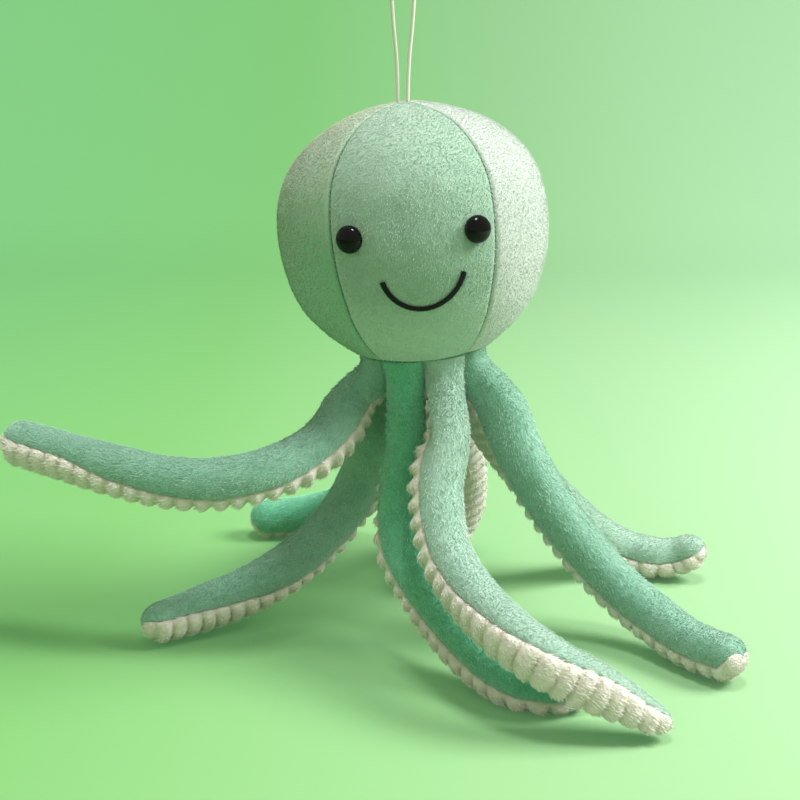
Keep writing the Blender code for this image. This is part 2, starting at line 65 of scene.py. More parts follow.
# The view: a camera a little above the head, tipped down 15 degrees, as the toy was photographed.
camera_data = bpy.data.cameras.new("camera")
camera_data.sensor_width = 36
camera_data.lens = 61.25
CAMERA_TIP = 15
camera = bpy.data.objects.new("camera", camera_data)
camera.location = (-0.0015, -0.7313, -0.0360)
camera.rotation_euler = (radians(90 - CAMERA_TIP), 0, 0)
bpy.context.scene.collection.objects.link(camera)
bpy.context.scene.camera = camera


# The hanging loop: 2 mm cream cotton cord, braided from eight ends over a core.
# It leaves its knot under the crown, comes out where the four gores meet, turns and goes back in.
CORD_WIDTH = 0.002
LOOP_RISE = 0.069
STRAND_SPACING = 0.005
LOOP_WIDTH = 0.0125
KNOT_DEPTH = 0.009
KNOT_WIDTH = 0.0105
SEAM_GAP = 0.0003
BRAID_ENDS = 8
BRAID_FULLNESS = 1.1
LOOP_BRAID_PITCH = 0.0052
KNOT_BRAID_PITCH = 0.0082


def curve_through(points, steps):
    """A Catmull-Rom curve through the points, with this many steps between neighbours."""
    rows = [Vector(p) for p in points]
    rows = [2 * rows[0] - rows[1]] + rows + [2 * rows[-1] - rows[-2]]
    curve = []
    for a, b, c, d in zip(rows, rows[1:], rows[2:], rows[3:]):
        for i in range(steps):
            t = i / steps
            curve.append(
                b
                + (c - a) * (t / 2)
                + (2 * a - 5 * b + 4 * c - d) * (t * t / 2)
                + (3 * b - a - 3 * c + d) * (t * t * t / 2)
            )
    curve.append(rows[-2])
    return curve


def between(table, share):
    """Read a table of (share, value) rows at any share, in straight lines."""
    if share <= table[0][0]:
        return table[0][1]
    for (s0, v0), (s1, v1) in zip(table, table[1:]):
        if share <= s1:
            return v0 + (v1 - v0) * (share - s0) / (s1 - s0)
    return table[-1][1]


def evenly(points, spacing):
    """Points about this far apart along a line, ends included."""
    lengths = [0.0]
    for a, b in zip(points, points[1:]):
        lengths.append(lengths[-1] + (b - a).length)
    count = round(lengths[-1] / spacing)
    table = list(zip(lengths, points))
    return [between(table, lengths[-1] * i / count) for i in range(count + 1)]


def new_object(name, mesh, material=None):
    """Link a mesh as an object at the origin, shaded smooth."""
    item = bpy.data.objects.new(name, mesh)
    bpy.context.scene.collection.objects.link(item)
    if material is not None:
        mesh.materials.append(material)
    mesh.shade_smooth()
    return item


def add_node(tree, kind, **settings):
    """A node with its settings and the plain values of its inputs."""
    made = tree.nodes.new(kind)
    for name, value in settings.items():
        if name == "values":
            for socket, plain in value.items():
                made.inputs[socket].default_value = plain
        else:
            setattr(made, name, value)
    return made


def join(tree, source, output, target, socket):
    """Link one node's output to another node's input, each by its socket's name or number."""
    tree.links.new(source.outputs[output], target.inputs[socket])


def new_material(name, colour, roughness, **values):
    """A Principled material; the values are for the shader's own sockets."""
    material = bpy.data.materials.new(name)
    material.use_nodes = True
    shader = material.node_tree.nodes["Principled BSDF"]
    shader.inputs["Base Color"].default_value = (*colour, 1)
    shader.inputs["Roughness"].default_value = roughness
    for socket, value in values.items():
        shader.inputs[socket.replace("_", " ")].default_value = value
    return material, material.node_tree, shader


def tube_round(mesh, path, radius, sides):
    """Add a closed round tube along a path to a bmesh."""
    side = Vector((0, 1, 0))
    rings = []
    for i, here in enumerate(path):
        along = (path[min(i + 1, len(path) - 1)] - path[max(i - 1, 0)]).normalized()
        side = (side - along * side.dot(along)).normalized()
        other = along.cross(side)
        turns = [2 * pi * j / sides for j in range(sides)]
        rings.append([mesh.verts.new(here + (side * cos(a) + other * sin(a)) * radius) for a in turns])
    for near, far in zip(rings, rings[1:]):
        for j in range(sides):
            k = (j + 1) % sides
            mesh.faces.new((near[j], near[k], far[k], far[j]))
    mesh.faces.new(rings[0])
    mesh.faces.new(rings[-1])


def keep_mesh(name, mesh):
    """Turn a bmesh's faces outwards and keep it as mesh data."""
    bmesh.ops.recalc_face_normals(mesh, faces=mesh.faces)
    data = bpy.data.meshes.new(name)
    mesh.to_mesh(data)
    mesh.free()
    return data


def braid(name, path, ends, width, pitch, material):
    """Ends of yarn that cross over and under each other round a path, half of them each way."""
    mesh = bmesh.new()
    yarn = width * 0.17
    lap = width * 0.06
    middle = width / 2 - yarn - lap
    side = Vector((0, 1, 0))
    frames = []
    run = 0.0
    for i, here in enumerate(path):
        along = (path[min(i + 1, len(path) - 1)] - path[max(i - 1, 0)]).normalized()
        side = (side - along * side.dot(along)).normalized()
        run += (here - path[i - 1]).length if i else 0
        frames.append((here, side.copy(), along.cross(side), 2 * pi * run / pitch))
    half = ends // 2
    for end in range(ends):
        way = 1 if end < half else -1
        start = 2 * pi * (end % half) / half
        line = []
        for here, out, across, turn in frames:
            reach = middle + way * lap * cos(half * turn)
            angle = start + way * turn
            line.append(here + (out * cos(angle) + across * sin(angle)) * reach)
        tube_round(mesh, line, yarn, 6)
    tube_round(mesh, path, middle, 8)
    return new_object(name, keep_mesh(name, mesh), material)


cream_cord, cord_tree, cord_shader = new_material(
    "cream_cord", (0.74, 0.70, 0.61), 0.85, Sheen_Weight=0.25, Sheen_Roughness=0.5
)
cord_place = add_node(cord_tree, "ShaderNodeTexCoord")
cord_lint = add_node(cord_tree, "ShaderNodeTexNoise", values={"Scale": 2600.0, "Detail": 3.0})
cord_tint = add_node(cord_tree, "ShaderNodeValToRGB")
cord_tint.color_ramp.elements[0].color = (0.58, 0.55, 0.47, 1)
cord_tint.color_ramp.elements[1].color = (0.86, 0.83, 0.75, 1)
cord_bump = add_node(cord_tree, "ShaderNodeBump", values={"Strength": 0.5, "Distance": 0.0001})
join(cord_tree, cord_place, "Object", cord_lint, "Vector")
join(cord_tree, cord_lint, "Fac", cord_tint, "Fac")
join(cord_tree, cord_tint, "Color", cord_shader, "Base Color")
join(cord_tree, cord_lint, "Fac", cord_bump, "Height")
join(cord_tree, cord_bump, "Normal", cord_shader, "Normal")

knot_top = -LOOP_RISE - KNOT_DEPTH
loop_bend = LOOP_WIDTH / 2
rising = [
    (-CORD_WIDTH / 2 - SEAM_GAP, 0, knot_top + SEAM_GAP),
    (-CORD_WIDTH, 0, -LOOP_RISE - KNOT_DEPTH / 2),
    (-STRAND_SPACING / 2, 0, -LOOP_RISE),
    (-STRAND_SPACING * 0.65, 0, -LOOP_RISE * 0.7),
    (-LOOP_WIDTH * 0.41, 0, -LOOP_RISE * 0.4),
    (-loop_bend, 0, -loop_bend),
]
turning = [(-loop_bend * cos(pi * i / 6), 0, -loop_bend + loop_bend * sin(pi * i / 6)) for i in range(1, 6)]
loop_route = rising + turning + [(-x, y, z) for x, y, z in reversed(rising)]
loop_line = evenly(curve_through(loop_route, 12), CORD_WIDTH / 5)
hang_cord = braid(
    "hang_cord", loop_line, BRAID_ENDS, CORD_WIDTH * BRAID_FULLNESS, LOOP_BRAID_PITCH, cream_cord
)

knot_rope = CORD_WIDTH * 0.8
knot_reach = (KNOT_WIDTH / 2 - knot_rope) / 3
knot_rise = 1.35 * knot_reach
knot_line = []
for i in range(121):
    t = 2 * pi * (i / 5 + 1.2) / 26.4
    knot_line.append(
        Vector(
            (
                knot_reach * (sin(t) + 2 * sin(2 * t)),
                knot_reach * (cos(t) - 2 * cos(2 * t)),
                -knot_rise * sin(3 * t) + knot_top - knot_rise - knot_rope,
            )
        )
    )
cord_knot = braid("cord_knot", knot_line, BRAID_ENDS, 2 * knot_rope, KNOT_BRAID_PITCH, cream_cord)
for piece, node in ((hang_cord, "hang_loop"), (cord_knot, "loop_knot")):
    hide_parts(node)
    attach(piece, "head")


# The head's four gores: short mint pile, cut with a narrow front and back gore and two wide side ones.
# Each gore is sewn to the next face to face and turned, so its edges roll in at the seams.
HEAD_WIDTH = 0.1445
HEAD_HEIGHT = 0.133
NECK_WIDTH = 0.071
HEAD_FABRIC = 0.002
HEAD_LEAN = radians(4.7)
HEAD_PROFILE_SHARES = (
    (0.486, 0.0),
    (0.61, 0.05),
    (0.755, 0.125),
    (0.885, 0.225),
    (0.97, 0.355),
    (1.0, 0.49),
    (0.98, 0.62),
    (0.91, 0.735),
    (0.765, 0.835),
    (0.56, 0.915),
    (0.32, 0.968),
    (0.15, 0.99),
)
FRONT_SEAM = (40.0, 36.0, 34.0, 34.5, 35.5, 37.0, 39.0, 42.0, 45.0)
CROWN_OPENING = (STRAND_SPACING + CORD_WIDTH) / 2 + 2 * SEAM_GAP
SEAM_ROLL = 0.0019
SEAM_DEPTH = 0.0012

head_place = Matrix.Translation(
    (sin(HEAD_LEAN) * HEAD_HEIGHT, 0, -LOOP_RISE - cos(HEAD_LEAN) * HEAD_HEIGHT)
) @ Matrix.Rotation(-HEAD_LEAN, 4, "Y")


def head_profile():
    """The gores' outer shape from neck to crown: rows of (share of its length, (radius, height))."""
    points = [(r * HEAD_WIDTH / 2, h * HEAD_HEIGHT, 0) for r, h in HEAD_PROFILE_SHARES]
    points[0] = (NECK_WIDTH / 2, 0, 0)
    points.append((CROWN_OPENING, HEAD_HEIGHT, 0))
    fine = curve_through(points, 16)
    lengths = [0.0]
    for a, b in zip(fine, fine[1:]):
        lengths.append(lengths[-1] + (b - a).length)
    return [(d / lengths[-1], p.xy) for d, p in zip(lengths, fine)], lengths[-1]


PROFILE, PROFILE_LENGTH = head_profile()
SEAM_LINE = curve_through([(i / (len(FRONT_SEAM) - 1), radians(a), 0) for i, a in enumerate(FRONT_SEAM)], 8)
SEAM_TABLE = [(p.x, p.y) for p in SEAM_LINE]


def head_spot(azimuth, share, proud=0.0):
    """A point on the head at an azimuth and a share of the way from neck to crown, and its normal."""
    radius, height = between(PROFILE, share)
    step = 0.004
    along = between(PROFILE, min(share + step, 1)) - between(PROFILE, max(share - step, 0))
    along.normalize()
    ahead = Vector((sin(azimuth), -cos(azimuth), 0))
    normal = ahead * along.y - Vector((0, 0, 1)) * along.x
    spot = ahead * radius + Vector((0, 0, height)) + normal * proud
    return head_place @ spot, head_place.to_3x3() @ normal


def rolled_in(edge):
    """How deep the fabric lies at a distance from its sewn edge: a quarter round."""
    near = min(edge / SEAM_ROLL, 1.0)
    return SEAM_DEPTH * (1 - sqrt(1 - (1 - near) ** 2))


def fabric_sheet(name, outer, inner):
    """Fabric with its thickness, from rows of points on its two faces.

    Two attributes go with it: skin is 1 on the pile's face, flow is the way the rows run."""
    mesh = bmesh.new()
    made = [[[mesh.verts.new(p) for p in row] for row in face] for face in (outer, inner)]
    for face in made:
        for near, far in zip(face, face[1:]):
            for i in range(len(near) - 1):
                mesh.faces.new((near[i], near[i + 1], far[i + 1], far[i]))
    rims = [(made[0][k], made[1][k]) for k in (0, -1)]
    rims += [([row[k] for row in made[0]], [row[k] for row in made[1]]) for k in (0, -1)]
    for near, far in rims:
        for i in range(len(near) - 1):
            mesh.faces.new((near[i], near[i + 1], far[i + 1], far[i]))
    skin, flow = [], []
    for face, value in ((outer, 1.0), (inner, 0.0)):
        for i, row in enumerate(face):
            for j, point in enumerate(row):
                inside = 0 < i < len(face) - 1 and 0 < j < len(row) - 1
                skin.append(value if inside else 0.0)
                way = face[min(i + 1, len(face) - 1)][j] - face[max(i - 1, 0)][j]
                flow += list(way.normalized())
    layer = mesh.verts.layers.float.new("skin")
    wayward = mesh.verts.layers.float_vector.new("flow")
    for i, vertex in enumerate(mesh.verts):
        vertex[layer] = skin[i]
        vertex[wayward] = flow[3 * i : 3 * i + 3]
    bmesh.ops.remove_doubles(mesh, verts=mesh.verts, dist=0.00002)
    bmesh.ops.dissolve_degenerate(mesh, edges=mesh.edges, dist=0.000005)
    return keep_mesh(name, mesh)


def gore(name, first_seam, last_seam, columns, rows=84):
    """One gore between two seams; its rows run from crown to neck, as the pile does."""
    outer, inner = [], []
    for i in range(rows + 1):
        share = 1 - i / rows
        radius = between(PROFILE, share).x
        first, last = first_seam(share), last_seam(share)
        clear = 0.5 * SEAM_GAP / radius
        face, back = [], []
        for j in range(columns + 1):
            t = j / columns
            t = 0.5 - 0.5 * cos(pi * t) if 0.02 < t < 0.98 else t
            t = 0.35 * t + 0.65 * (j / columns)
            azimuth = first + clear + (last - first - 2 * clear) * t
            edge = min(t, 1 - t) * (last - first) * radius
            end = min(share, 1 - share) * PROFILE_LENGTH
            depth = rolled_in(edge) + 0.4 * rolled_in(2 * end) + 0.0005 / (1 + (edge / 0.009) ** 2)
            here, normal = head_spot(azimuth, share)
            stuffed = noise.noise(here * 28 + Vector((3, 1, 7))) + 0.4 * noise.noise(here * 75)
            proud = 0.0006 * stuffed * min(edge / 0.02, 1)
            face.append(here + normal * (proud - depth))
            back.append(here - normal * (HEAD_FABRIC + 0.0004))
        outer.append(face)
        inner.append(back)
    return fabric_sheet(name, outer, inner)


def front_seam(share):
    return between(SEAM_TABLE, share)


def new_tree(name, sockets):
    """A Geometry Nodes tree with named inputs; gives its tree, input node and output node."""
    tree = bpy.data.node_groups.new(name, "GeometryNodeTree")
    tree.interface.new_socket("Geometry", in_out="OUTPUT", socket_type="NodeSocketGeometry")
    tree.interface.new_socket("Geometry", in_out="INPUT", socket_type="NodeSocketGeometry")
    for socket, kind in sockets:
        tree.interface.new_socket(socket, in_out="INPUT", socket_type="NodeSocket" + kind)
    return tree, add_node(tree, "NodeGroupInput"), add_node(tree, "NodeGroupOutput")


def run_tree(item, tree, values):
    """Put a tree on an object with its values, keep the result as a plain mesh and take the tree off."""
    modifier = item.modifiers.new(tree.name, "NODES")
    modifier.node_group = tree
    identifiers = {s.name: s.identifier for s in tree.interface.items_tree if s.in_out == "INPUT"}
    for name, value in values.items():
        modifier[identifiers[name]] = value
    graph = bpy.context.evaluated_depsgraph_get()
    made = bpy.data.meshes.new_from_object(
        item.evaluated_get(graph), preserve_all_data_layers=True, depsgraph=graph
    )
    item.modifiers.clear()
    item.data = made
    made.name = item.name


pile_tree, pile_in, pile_out = new_tree(
    "short_pile",
    (
        ("Fibres per Square Metre", "Float"),
        ("Fibre Length", "Float"),
        ("Fibre Width", "Float"),
        ("Lean", "Float"),
        ("Swirls per Metre", "Float"),
        ("Waviness", "Float"),
        ("Seed", "Int"),
        ("Material", "Material"),
    ),
)


pile_skin = add_node(pile_tree, "GeometryNodeInputNamedAttribute", values={"Name": "skin"})
pile_face = add_node(pile_tree, "FunctionNodeCompare", operation="GREATER_THAN", values={1: 0.95})
pile_points = add_node(pile_tree, "GeometryNodeDistributePointsOnFaces")
pile_flow = add_node(
    pile_tree, "GeometryNodeInputNamedAttribute", data_type="FLOAT_VECTOR", values={"Name": "flow"}
)
pile_spot = add_node(pile_tree, "GeometryNodeInputPosition")
pile_swirl = add_node(pile_tree, "ShaderNodeTexNoise", values={"Detail": 1.5, "Distortion": 0.8})
pile_centred = add_node(
    pile_tree, "ShaderNodeVectorMath", operation="SUBTRACT", values={1: (0.5, 0.5, 0.5)}
)
pile_wild = add_node(pile_tree, "ShaderNodeVectorMath", operation="SCALE")
pile_way = add_node(pile_tree, "ShaderNodeVectorMath", operation="ADD")
pile_leant = add_node(pile_tree, "ShaderNodeVectorMath", operation="SCALE")
pile_stand = add_node(pile_tree, "ShaderNodeVectorMath", operation="ADD")
pile_turn = add_node(pile_tree, "FunctionNodeAlignRotationToVector", axis="Z")
pile_luck = add_node(pile_tree, "FunctionNodeRandomValue", data_type="FLOAT")
pile_rare = add_node(pile_tree, "ShaderNodeMath", operation="POWER", values={1: 2.0})
pile_size = add_node(pile_tree, "ShaderNodeMath", operation="MULTIPLY_ADD", values={1: 0.8, 2: 0.6})
pile_shade = add_node(
    pile_tree, "GeometryNodeStoreNamedAttribute", domain="INSTANCE", values={"Name": "shade"}
)
fibre = add_node(pile_tree, "GeometryNodeMeshCone", values={"Vertices": 3, "Radius Top": 0.0})
fibre_half = add_node(pile_tree, "ShaderNodeMath", operation="MULTIPLY", values={1: 0.5})
fibre_spot = add_node(pile_tree, "GeometryNodeInputPosition")
fibre_height = add_node(pile_tree, "ShaderNodeSeparateXYZ")
fibre_share = add_node(pile_tree, "ShaderNodeMath", operation="DIVIDE")
fibre_tip = add_node(pile_tree, "GeometryNodeStoreNamedAttribute", values={"Name": "tip"})
pile_stood = add_node(pile_tree, "GeometryNodeInstanceOnPoints")
pile_real = add_node(pile_tree, "GeometryNodeRealizeInstances")
pile_both = add_node(pile_tree, "GeometryNodeJoinGeometry")
pile_dyed = add_node(pile_tree, "GeometryNodeSetMaterial")
for link in (
    (pile_skin, "Attribute", pile_face, 0),
    (pile_in, "Geometry", pile_points, "Mesh"),
    (pile_face, "Result", pile_points, "Selection"),
    (pile_in, "Fibres per Square Metre", pile_points, "Density"),
    (pile_in, "Seed", pile_points, "Seed"),
    (pile_spot, "Position", pile_swirl, "Vector"),
    (pile_in, "Swirls per Metre", pile_swirl, "Scale"),
    (pile_swirl, "Color", pile_centred, 0),
    (pile_centred, "Vector", pile_wild, 0),
    (pile_in, "Waviness", pile_wild, "Scale"),
    (pile_flow, "Attribute", pile_way, 0),
    (pile_wild, "Vector", pile_way, 1),
    (pile_way, "Vector", pile_leant, 0),
    (pile_in, "Lean", pile_leant, "Scale"),
    (pile_leant, "Vector", pile_stand, 0),
    (pile_points, "Normal", pile_stand, 1),
    (pile_stand, "Vector", pile_turn, "Vector"),
    (pile_in, "Seed", pile_luck, "Seed"),
    (pile_luck, 1, pile_rare, 0),
    (pile_rare, "Value", pile_size, 0),
    (pile_in, "Fibre Width", fibre_half, 0),
    (fibre_half, "Value", fibre, "Radius Bottom"),
    (pile_in, "Fibre Length", fibre, "Depth"),
    (fibre, "Mesh", fibre_tip, "Geometry"),
    (fibre_spot, "Position", fibre_height, "Vector"),
    (fibre_height, "Z", fibre_share, 0),
    (pile_in, "Fibre Length", fibre_share, 1),
    (fibre_share, "Value", fibre_tip, "Value"),
    (pile_points, "Points", pile_stood, "Points"),
    (fibre_tip, "Geometry", pile_stood, "Instance"),
    (pile_turn, "Rotation", pile_stood, "Rotation"),
    (pile_size, "Value", pile_stood, "Scale"),
    (pile_stood, "Instances", pile_shade, "Geometry"),
    (pile_luck, 1, pile_shade, "Value"),
    (pile_in, "Geometry", pile_both, "Geometry"),
    (pile_shade, "Geometry", pile_both, "Geometry"),
    (pile_both, "Geometry", pile_real, "Geometry"),
    (pile_real, "Geometry", pile_dyed, "Geometry"),
    (pile_in, "Material", pile_dyed, "Material"),
    (pile_dyed, "Geometry", pile_out, "Geometry"),
):
    join(pile_tree, *link)


def grow_pile(item, material, seed, density, length, width, lean, swirls, waviness):
    """Plant pile on an object's fabric: how many fibres, how long and wide, and how they lie."""
    run_tree(
        item,
        pile_tree,
        {
            "Fibres per Square Metre": density,
            "Fibre Length": length,
            "Fibre Width": width,
            "Lean": lean,
            "Swirls per Metre": swirls,
            "Waviness": waviness,
            "Seed": seed,
            "Material": material,
        },
    )


# The look of brushed pile: patches that lie one way or the other, and the grain of the fibres.
nap = bpy.data.node_groups.new("brushed_nap", "ShaderNodeTree")
for socket, kind in (("Vector", "Vector"), ("Patch Scale", "Float"), ("Grain Scale", "Float")):
    nap.interface.new_socket(socket, in_out="INPUT", socket_type="NodeSocket" + kind)
for socket in ("Patch", "Grain", "Height"):
    nap.interface.new_socket(socket, in_out="OUTPUT", socket_type="NodeSocketFloat")
nap_in, nap_out = add_node(nap, "NodeGroupInput"), add_node(nap, "NodeGroupOutput")
nap_broad = add_node(
    nap, "ShaderNodeTexNoise", values={"Detail": 4.0, "Roughness": 0.62, "Distortion": 1.4}
)
nap_grain = add_node(
    nap, "ShaderNodeTexNoise", values={"Detail": 3.0, "Roughness": 0.7, "Distortion": 0.6}
)
nap_spread = add_node(nap, "ShaderNodeMapRange", values={"From Min": 0.3, "From Max": 0.7})
nap_mixed = add_node(nap, "ShaderNodeMath", operation="MULTIPLY_ADD", values={1: 0.2})
for link in (
    (nap_in, "Vector", nap_broad, "Vector"),
    (nap_in, "Patch Scale", nap_broad, "Scale"),
    (nap_in, "Vector", nap_grain, "Vector"),
    (nap_in, "Grain Scale", nap_grain, "Scale"),
    (nap_broad, "Fac", nap_spread, "Value"),
    (nap_broad, "Fac", nap_mixed, 0),
    (nap_grain, "Fac", nap_mixed, 2),
    (nap_spread, "Result", nap_out, "Patch"),
    (nap_grain, "Fac", nap_out, "Grain"),
    (nap_mixed, "Value", nap_out, "Height"),
):
    join(nap, *link)


def pile_material(
    name,
    dark,
    light,
    patch_scale=150.0,
    grain_scale=1800.0,
    sheen=0.7,
    bump=0.0006,
    spread=0.8,
    painted_light_by_height=None,
):
    """Pile dyed between two shades: its locks and patches vary in tone at random. Fibre tips are painted
    paler and their roots, the bare backing and the rib grooves darker: painted light and painted shade.

    The spread is how much the locks differ from each other. Between two heights the colour moves by a
    share towards the paler dye, or towards the darker one where the share is negative: painted light and
    shade."""
    material, tree, shader = new_material(
        name,
        light,
        0.92,
        Sheen_Weight=sheen,
        Sheen_Roughness=0.5,
        Sheen_Tint=(0.93, 1.0, 0.94, 1),
        Specular_IOR_Level=0.15,
    )
    place = add_node(tree, "ShaderNodeTexCoord")
    look = add_node(tree, "ShaderNodeGroup", node_tree=nap)
    look.inputs["Patch Scale"].default_value = patch_scale
    look.inputs["Grain Scale"].default_value = grain_scale
    tip = add_node(tree, "ShaderNodeAttribute", attribute_name="tip")
    shade = add_node(tree, "ShaderNodeAttribute", attribute_name="shade")
    # The groove attribute darkens the colour at the bottom of the rib grooves: painted shade.
    groove = add_node(tree, "ShaderNodeAttribute", attribute_name="groove")
    groove_shade = add_node(tree, "ShaderNodeMath", operation="MULTIPLY_ADD", values={1: -0.7})
    bright = add_node(
        tree, "ShaderNodeMath", operation="MULTIPLY_ADD", values={1: spread, 2: 0.8 - spread / 2}
    )
    grain = add_node(tree, "ShaderNodeMath", operation="MULTIPLY_ADD", values={1: 1.0, 2: -0.35})
    # Fibre tips paler and their roots and the bare backing darker: painted light on the tips and painted
    # shade deep in the pile.
    lit = add_node(tree, "ShaderNodeMath", operation="MULTIPLY_ADD")
    shaded = add_node(tree, "ShaderNodeMath", operation="MULTIPLY_ADD", values={1: 0.28, 2: 0.1})
    dye = add_node(
        tree, "ShaderNodeMix", data_type="RGBA", values={6: (*dark, 1), 7: (*light, 1)}
    )
    raised = add_node(tree, "ShaderNodeBump", values={"Strength": 0.8, "Distance": bump})
    for link in (
        (place, "Object", look, "Vector"),
        (look, "Patch", shaded, 0),
        (look, "Grain", grain, 0),
        (shade, "Fac", bright, 0),
        (tip, "Fac", lit, 0),
        (bright, "Value", lit, 1),
        (groove, "Fac", groove_shade, 0),
        (grain, "Value", groove_shade, 2),
        (groove_shade, "Value", lit, 2),
        (look, "Height", raised, "Height"),
        (raised, "Normal", shader, "Normal"),
    ):
        join(tree, *link)
    total = add_node(tree, "ShaderNodeMath", operation="ADD", use_clamp=True)
    join(tree, lit, "Value", total, 1)
    # Painted light and shade by height: a ramp on the object's height is added to the dye's factor.
    if painted_light_by_height:
        high, low, share = painted_light_by_height
        axes = add_node(tree, "ShaderNodeSeparateXYZ")
        turned = add_node(
            tree, "ShaderNodeMapRange", values={"From Min": high, "From Max": low, "To Max": share}
        )
        paler = add_node(tree, "ShaderNodeMath", operation="ADD")
        join(tree, place, "Object", axes, "Vector")
        join(tree, axes, "Z", turned, "Value")
        join(tree, turned, "Result", paler, 0)
        join(tree, shaded, "Value", paler, 1)
        join(tree, paler, "Value", total, 0)
    else:
        join(tree, shaded, "Value", total, 0)
    join(tree, total, "Value", dye, "Factor")
    join(tree, dye, "Result", shader, "Base Color")
    return material


mint_pile = pile_material("mint_pile", (0.09, 0.32, 0.20), (0.43, 0.70, 0.57), sheen=1.0, spread=0.5)
# Paler towards the bottom of the front and back gores, at the chin: painted light bounced up from the
# floor.
face_pile = pile_material(
    "face_pile",
    (0.20, 0.37, 0.26),
    (0.48, 0.66, 0.53),
    sheen=1.0,
    spread=0.4,
    painted_light_by_height=(-0.16, -0.19, 0.65),
)
# The right gore's copy of the side pile, paler than the left's: painted light on the side the key light
# falls on. It is paler still towards its bottom: painted light bounced up from the floor.
pale_mint_pile = pile_material(
    "pale_mint_pile",
    (0.46, 0.53, 0.48),
    (0.63, 0.68, 0.64),
    sheen=1.0,
    spread=0.2,
    painted_light_by_height=(-0.12, -0.18, 0.7),
)
# The left gore's copy of the side pile is greyer and darker: painted shade on the side away from the key
# light. It turns greener towards its bottom: painted green light bounced up from the floor.
shaded_side_mint_pile = pile_material(
    "shaded_side_mint_pile",
    (0.25, 0.53, 0.33),
    (0.53, 0.49, 0.41),
    sheen=1.0,
    spread=0.3,
    painted_light_by_height=(-0.10, -0.18, -0.7),
)

GORES = (
    ("front_gore", "head_front_panel", face_pile, lambda s: -front_seam(s), front_seam, 44),
    ("right_gore", "head_right_panel", pale_mint_pile, front_seam, lambda s: pi - front_seam(s), 64),
    (
        "back_gore",
        "head_back_panel",
        face_pile,
        lambda s: pi - front_seam(s),
        lambda s: pi + front_seam(s),
        44,
    ),
    (
        "left_gore",
        "head_left_panel",
        shaded_side_mint_pile,
        lambda s: pi + front_seam(s),
        lambda s: 2 * pi - front_seam(s),
        64,
    ),
)
GORE_PILE = {
    "density": 1950000.0,
    "length": 0.001,
    "width": 0.00034,
    "lean": 1.4,
    "swirls": 480.0,
    "waviness": 3.0,
}
for seed, (name, node, material, first_seam, last_seam, columns) in enumerate(GORES):
    piece = new_object(name, gore(name, first_seam, last_seam, columns))
    grow_pile(piece, material, seed, **GORE_PILE)
    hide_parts(node)
    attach(piece, "head")


# The seams that join the gores: mint thread in a row of small stitches at the bottom of each groove.
# They run from the crown to the neck.
SEAM_THREAD = 0.0008
SEAM_STITCH = 0.0021
SEAM_SPACING = 0.0024

stitch_tree, stitch_in, stitch_out = new_tree(
    "stitch_row",
    (
        ("Spacing", "Float"),
        ("Thread Length", "Float"),
        ("Thread Width", "Float"),
        ("Slant", "Float"),
        ("Seed", "Int"),
        ("Material", "Material"),
    ),
)
row_curve = add_node(stitch_tree, "GeometryNodeMeshToCurve")
row_even = add_node(stitch_tree, "GeometryNodeResampleCurve", mode="LENGTH")
row_out = add_node(
    stitch_tree, "GeometryNodeInputNamedAttribute", data_type="FLOAT_VECTOR", values={"Name": "out"}
)
row_along = add_node(stitch_tree, "GeometryNodeInputTangent")
row_across = add_node(stitch_tree, "ShaderNodeVectorMath", operation="CROSS_PRODUCT")
row_cos = add_node(stitch_tree, "ShaderNodeMath", operation="COSINE")
row_sin = add_node(stitch_tree, "ShaderNodeMath", operation="SINE")
row_jitter = add_node(
    stitch_tree, "FunctionNodeRandomValue", data_type="FLOAT", values={2: -0.09, 3: 0.09}
)
row_slant = add_node(stitch_tree, "ShaderNodeMath", operation="ADD")
row_long = add_node(stitch_tree, "ShaderNodeVectorMath", operation="SCALE")
row_wide = add_node(stitch_tree, "ShaderNodeVectorMath", operation="SCALE")
row_way = add_node(stitch_tree, "ShaderNodeVectorMath", operation="ADD")
row_turn = add_node(
    stitch_tree, "FunctionNodeAxesToRotation", primary_axis="Z", secondary_axis="X"
)
thread = add_node(
    stitch_tree, "GeometryNodeMeshUVSphere", values={"Segments": 8, "Rings": 6, "Radius": 0.5}
)
thread_size = add_node(stitch_tree, "ShaderNodeCombineXYZ")
thread_shaped = add_node(stitch_tree, "GeometryNodeTransform")
row_stood = add_node(stitch_tree, "GeometryNodeInstanceOnPoints")
row_real = add_node(stitch_tree, "GeometryNodeRealizeInstances")
row_smooth = add_node(stitch_tree, "GeometryNodeSetShadeSmooth")
row_dyed = add_node(stitch_tree, "GeometryNodeSetMaterial")
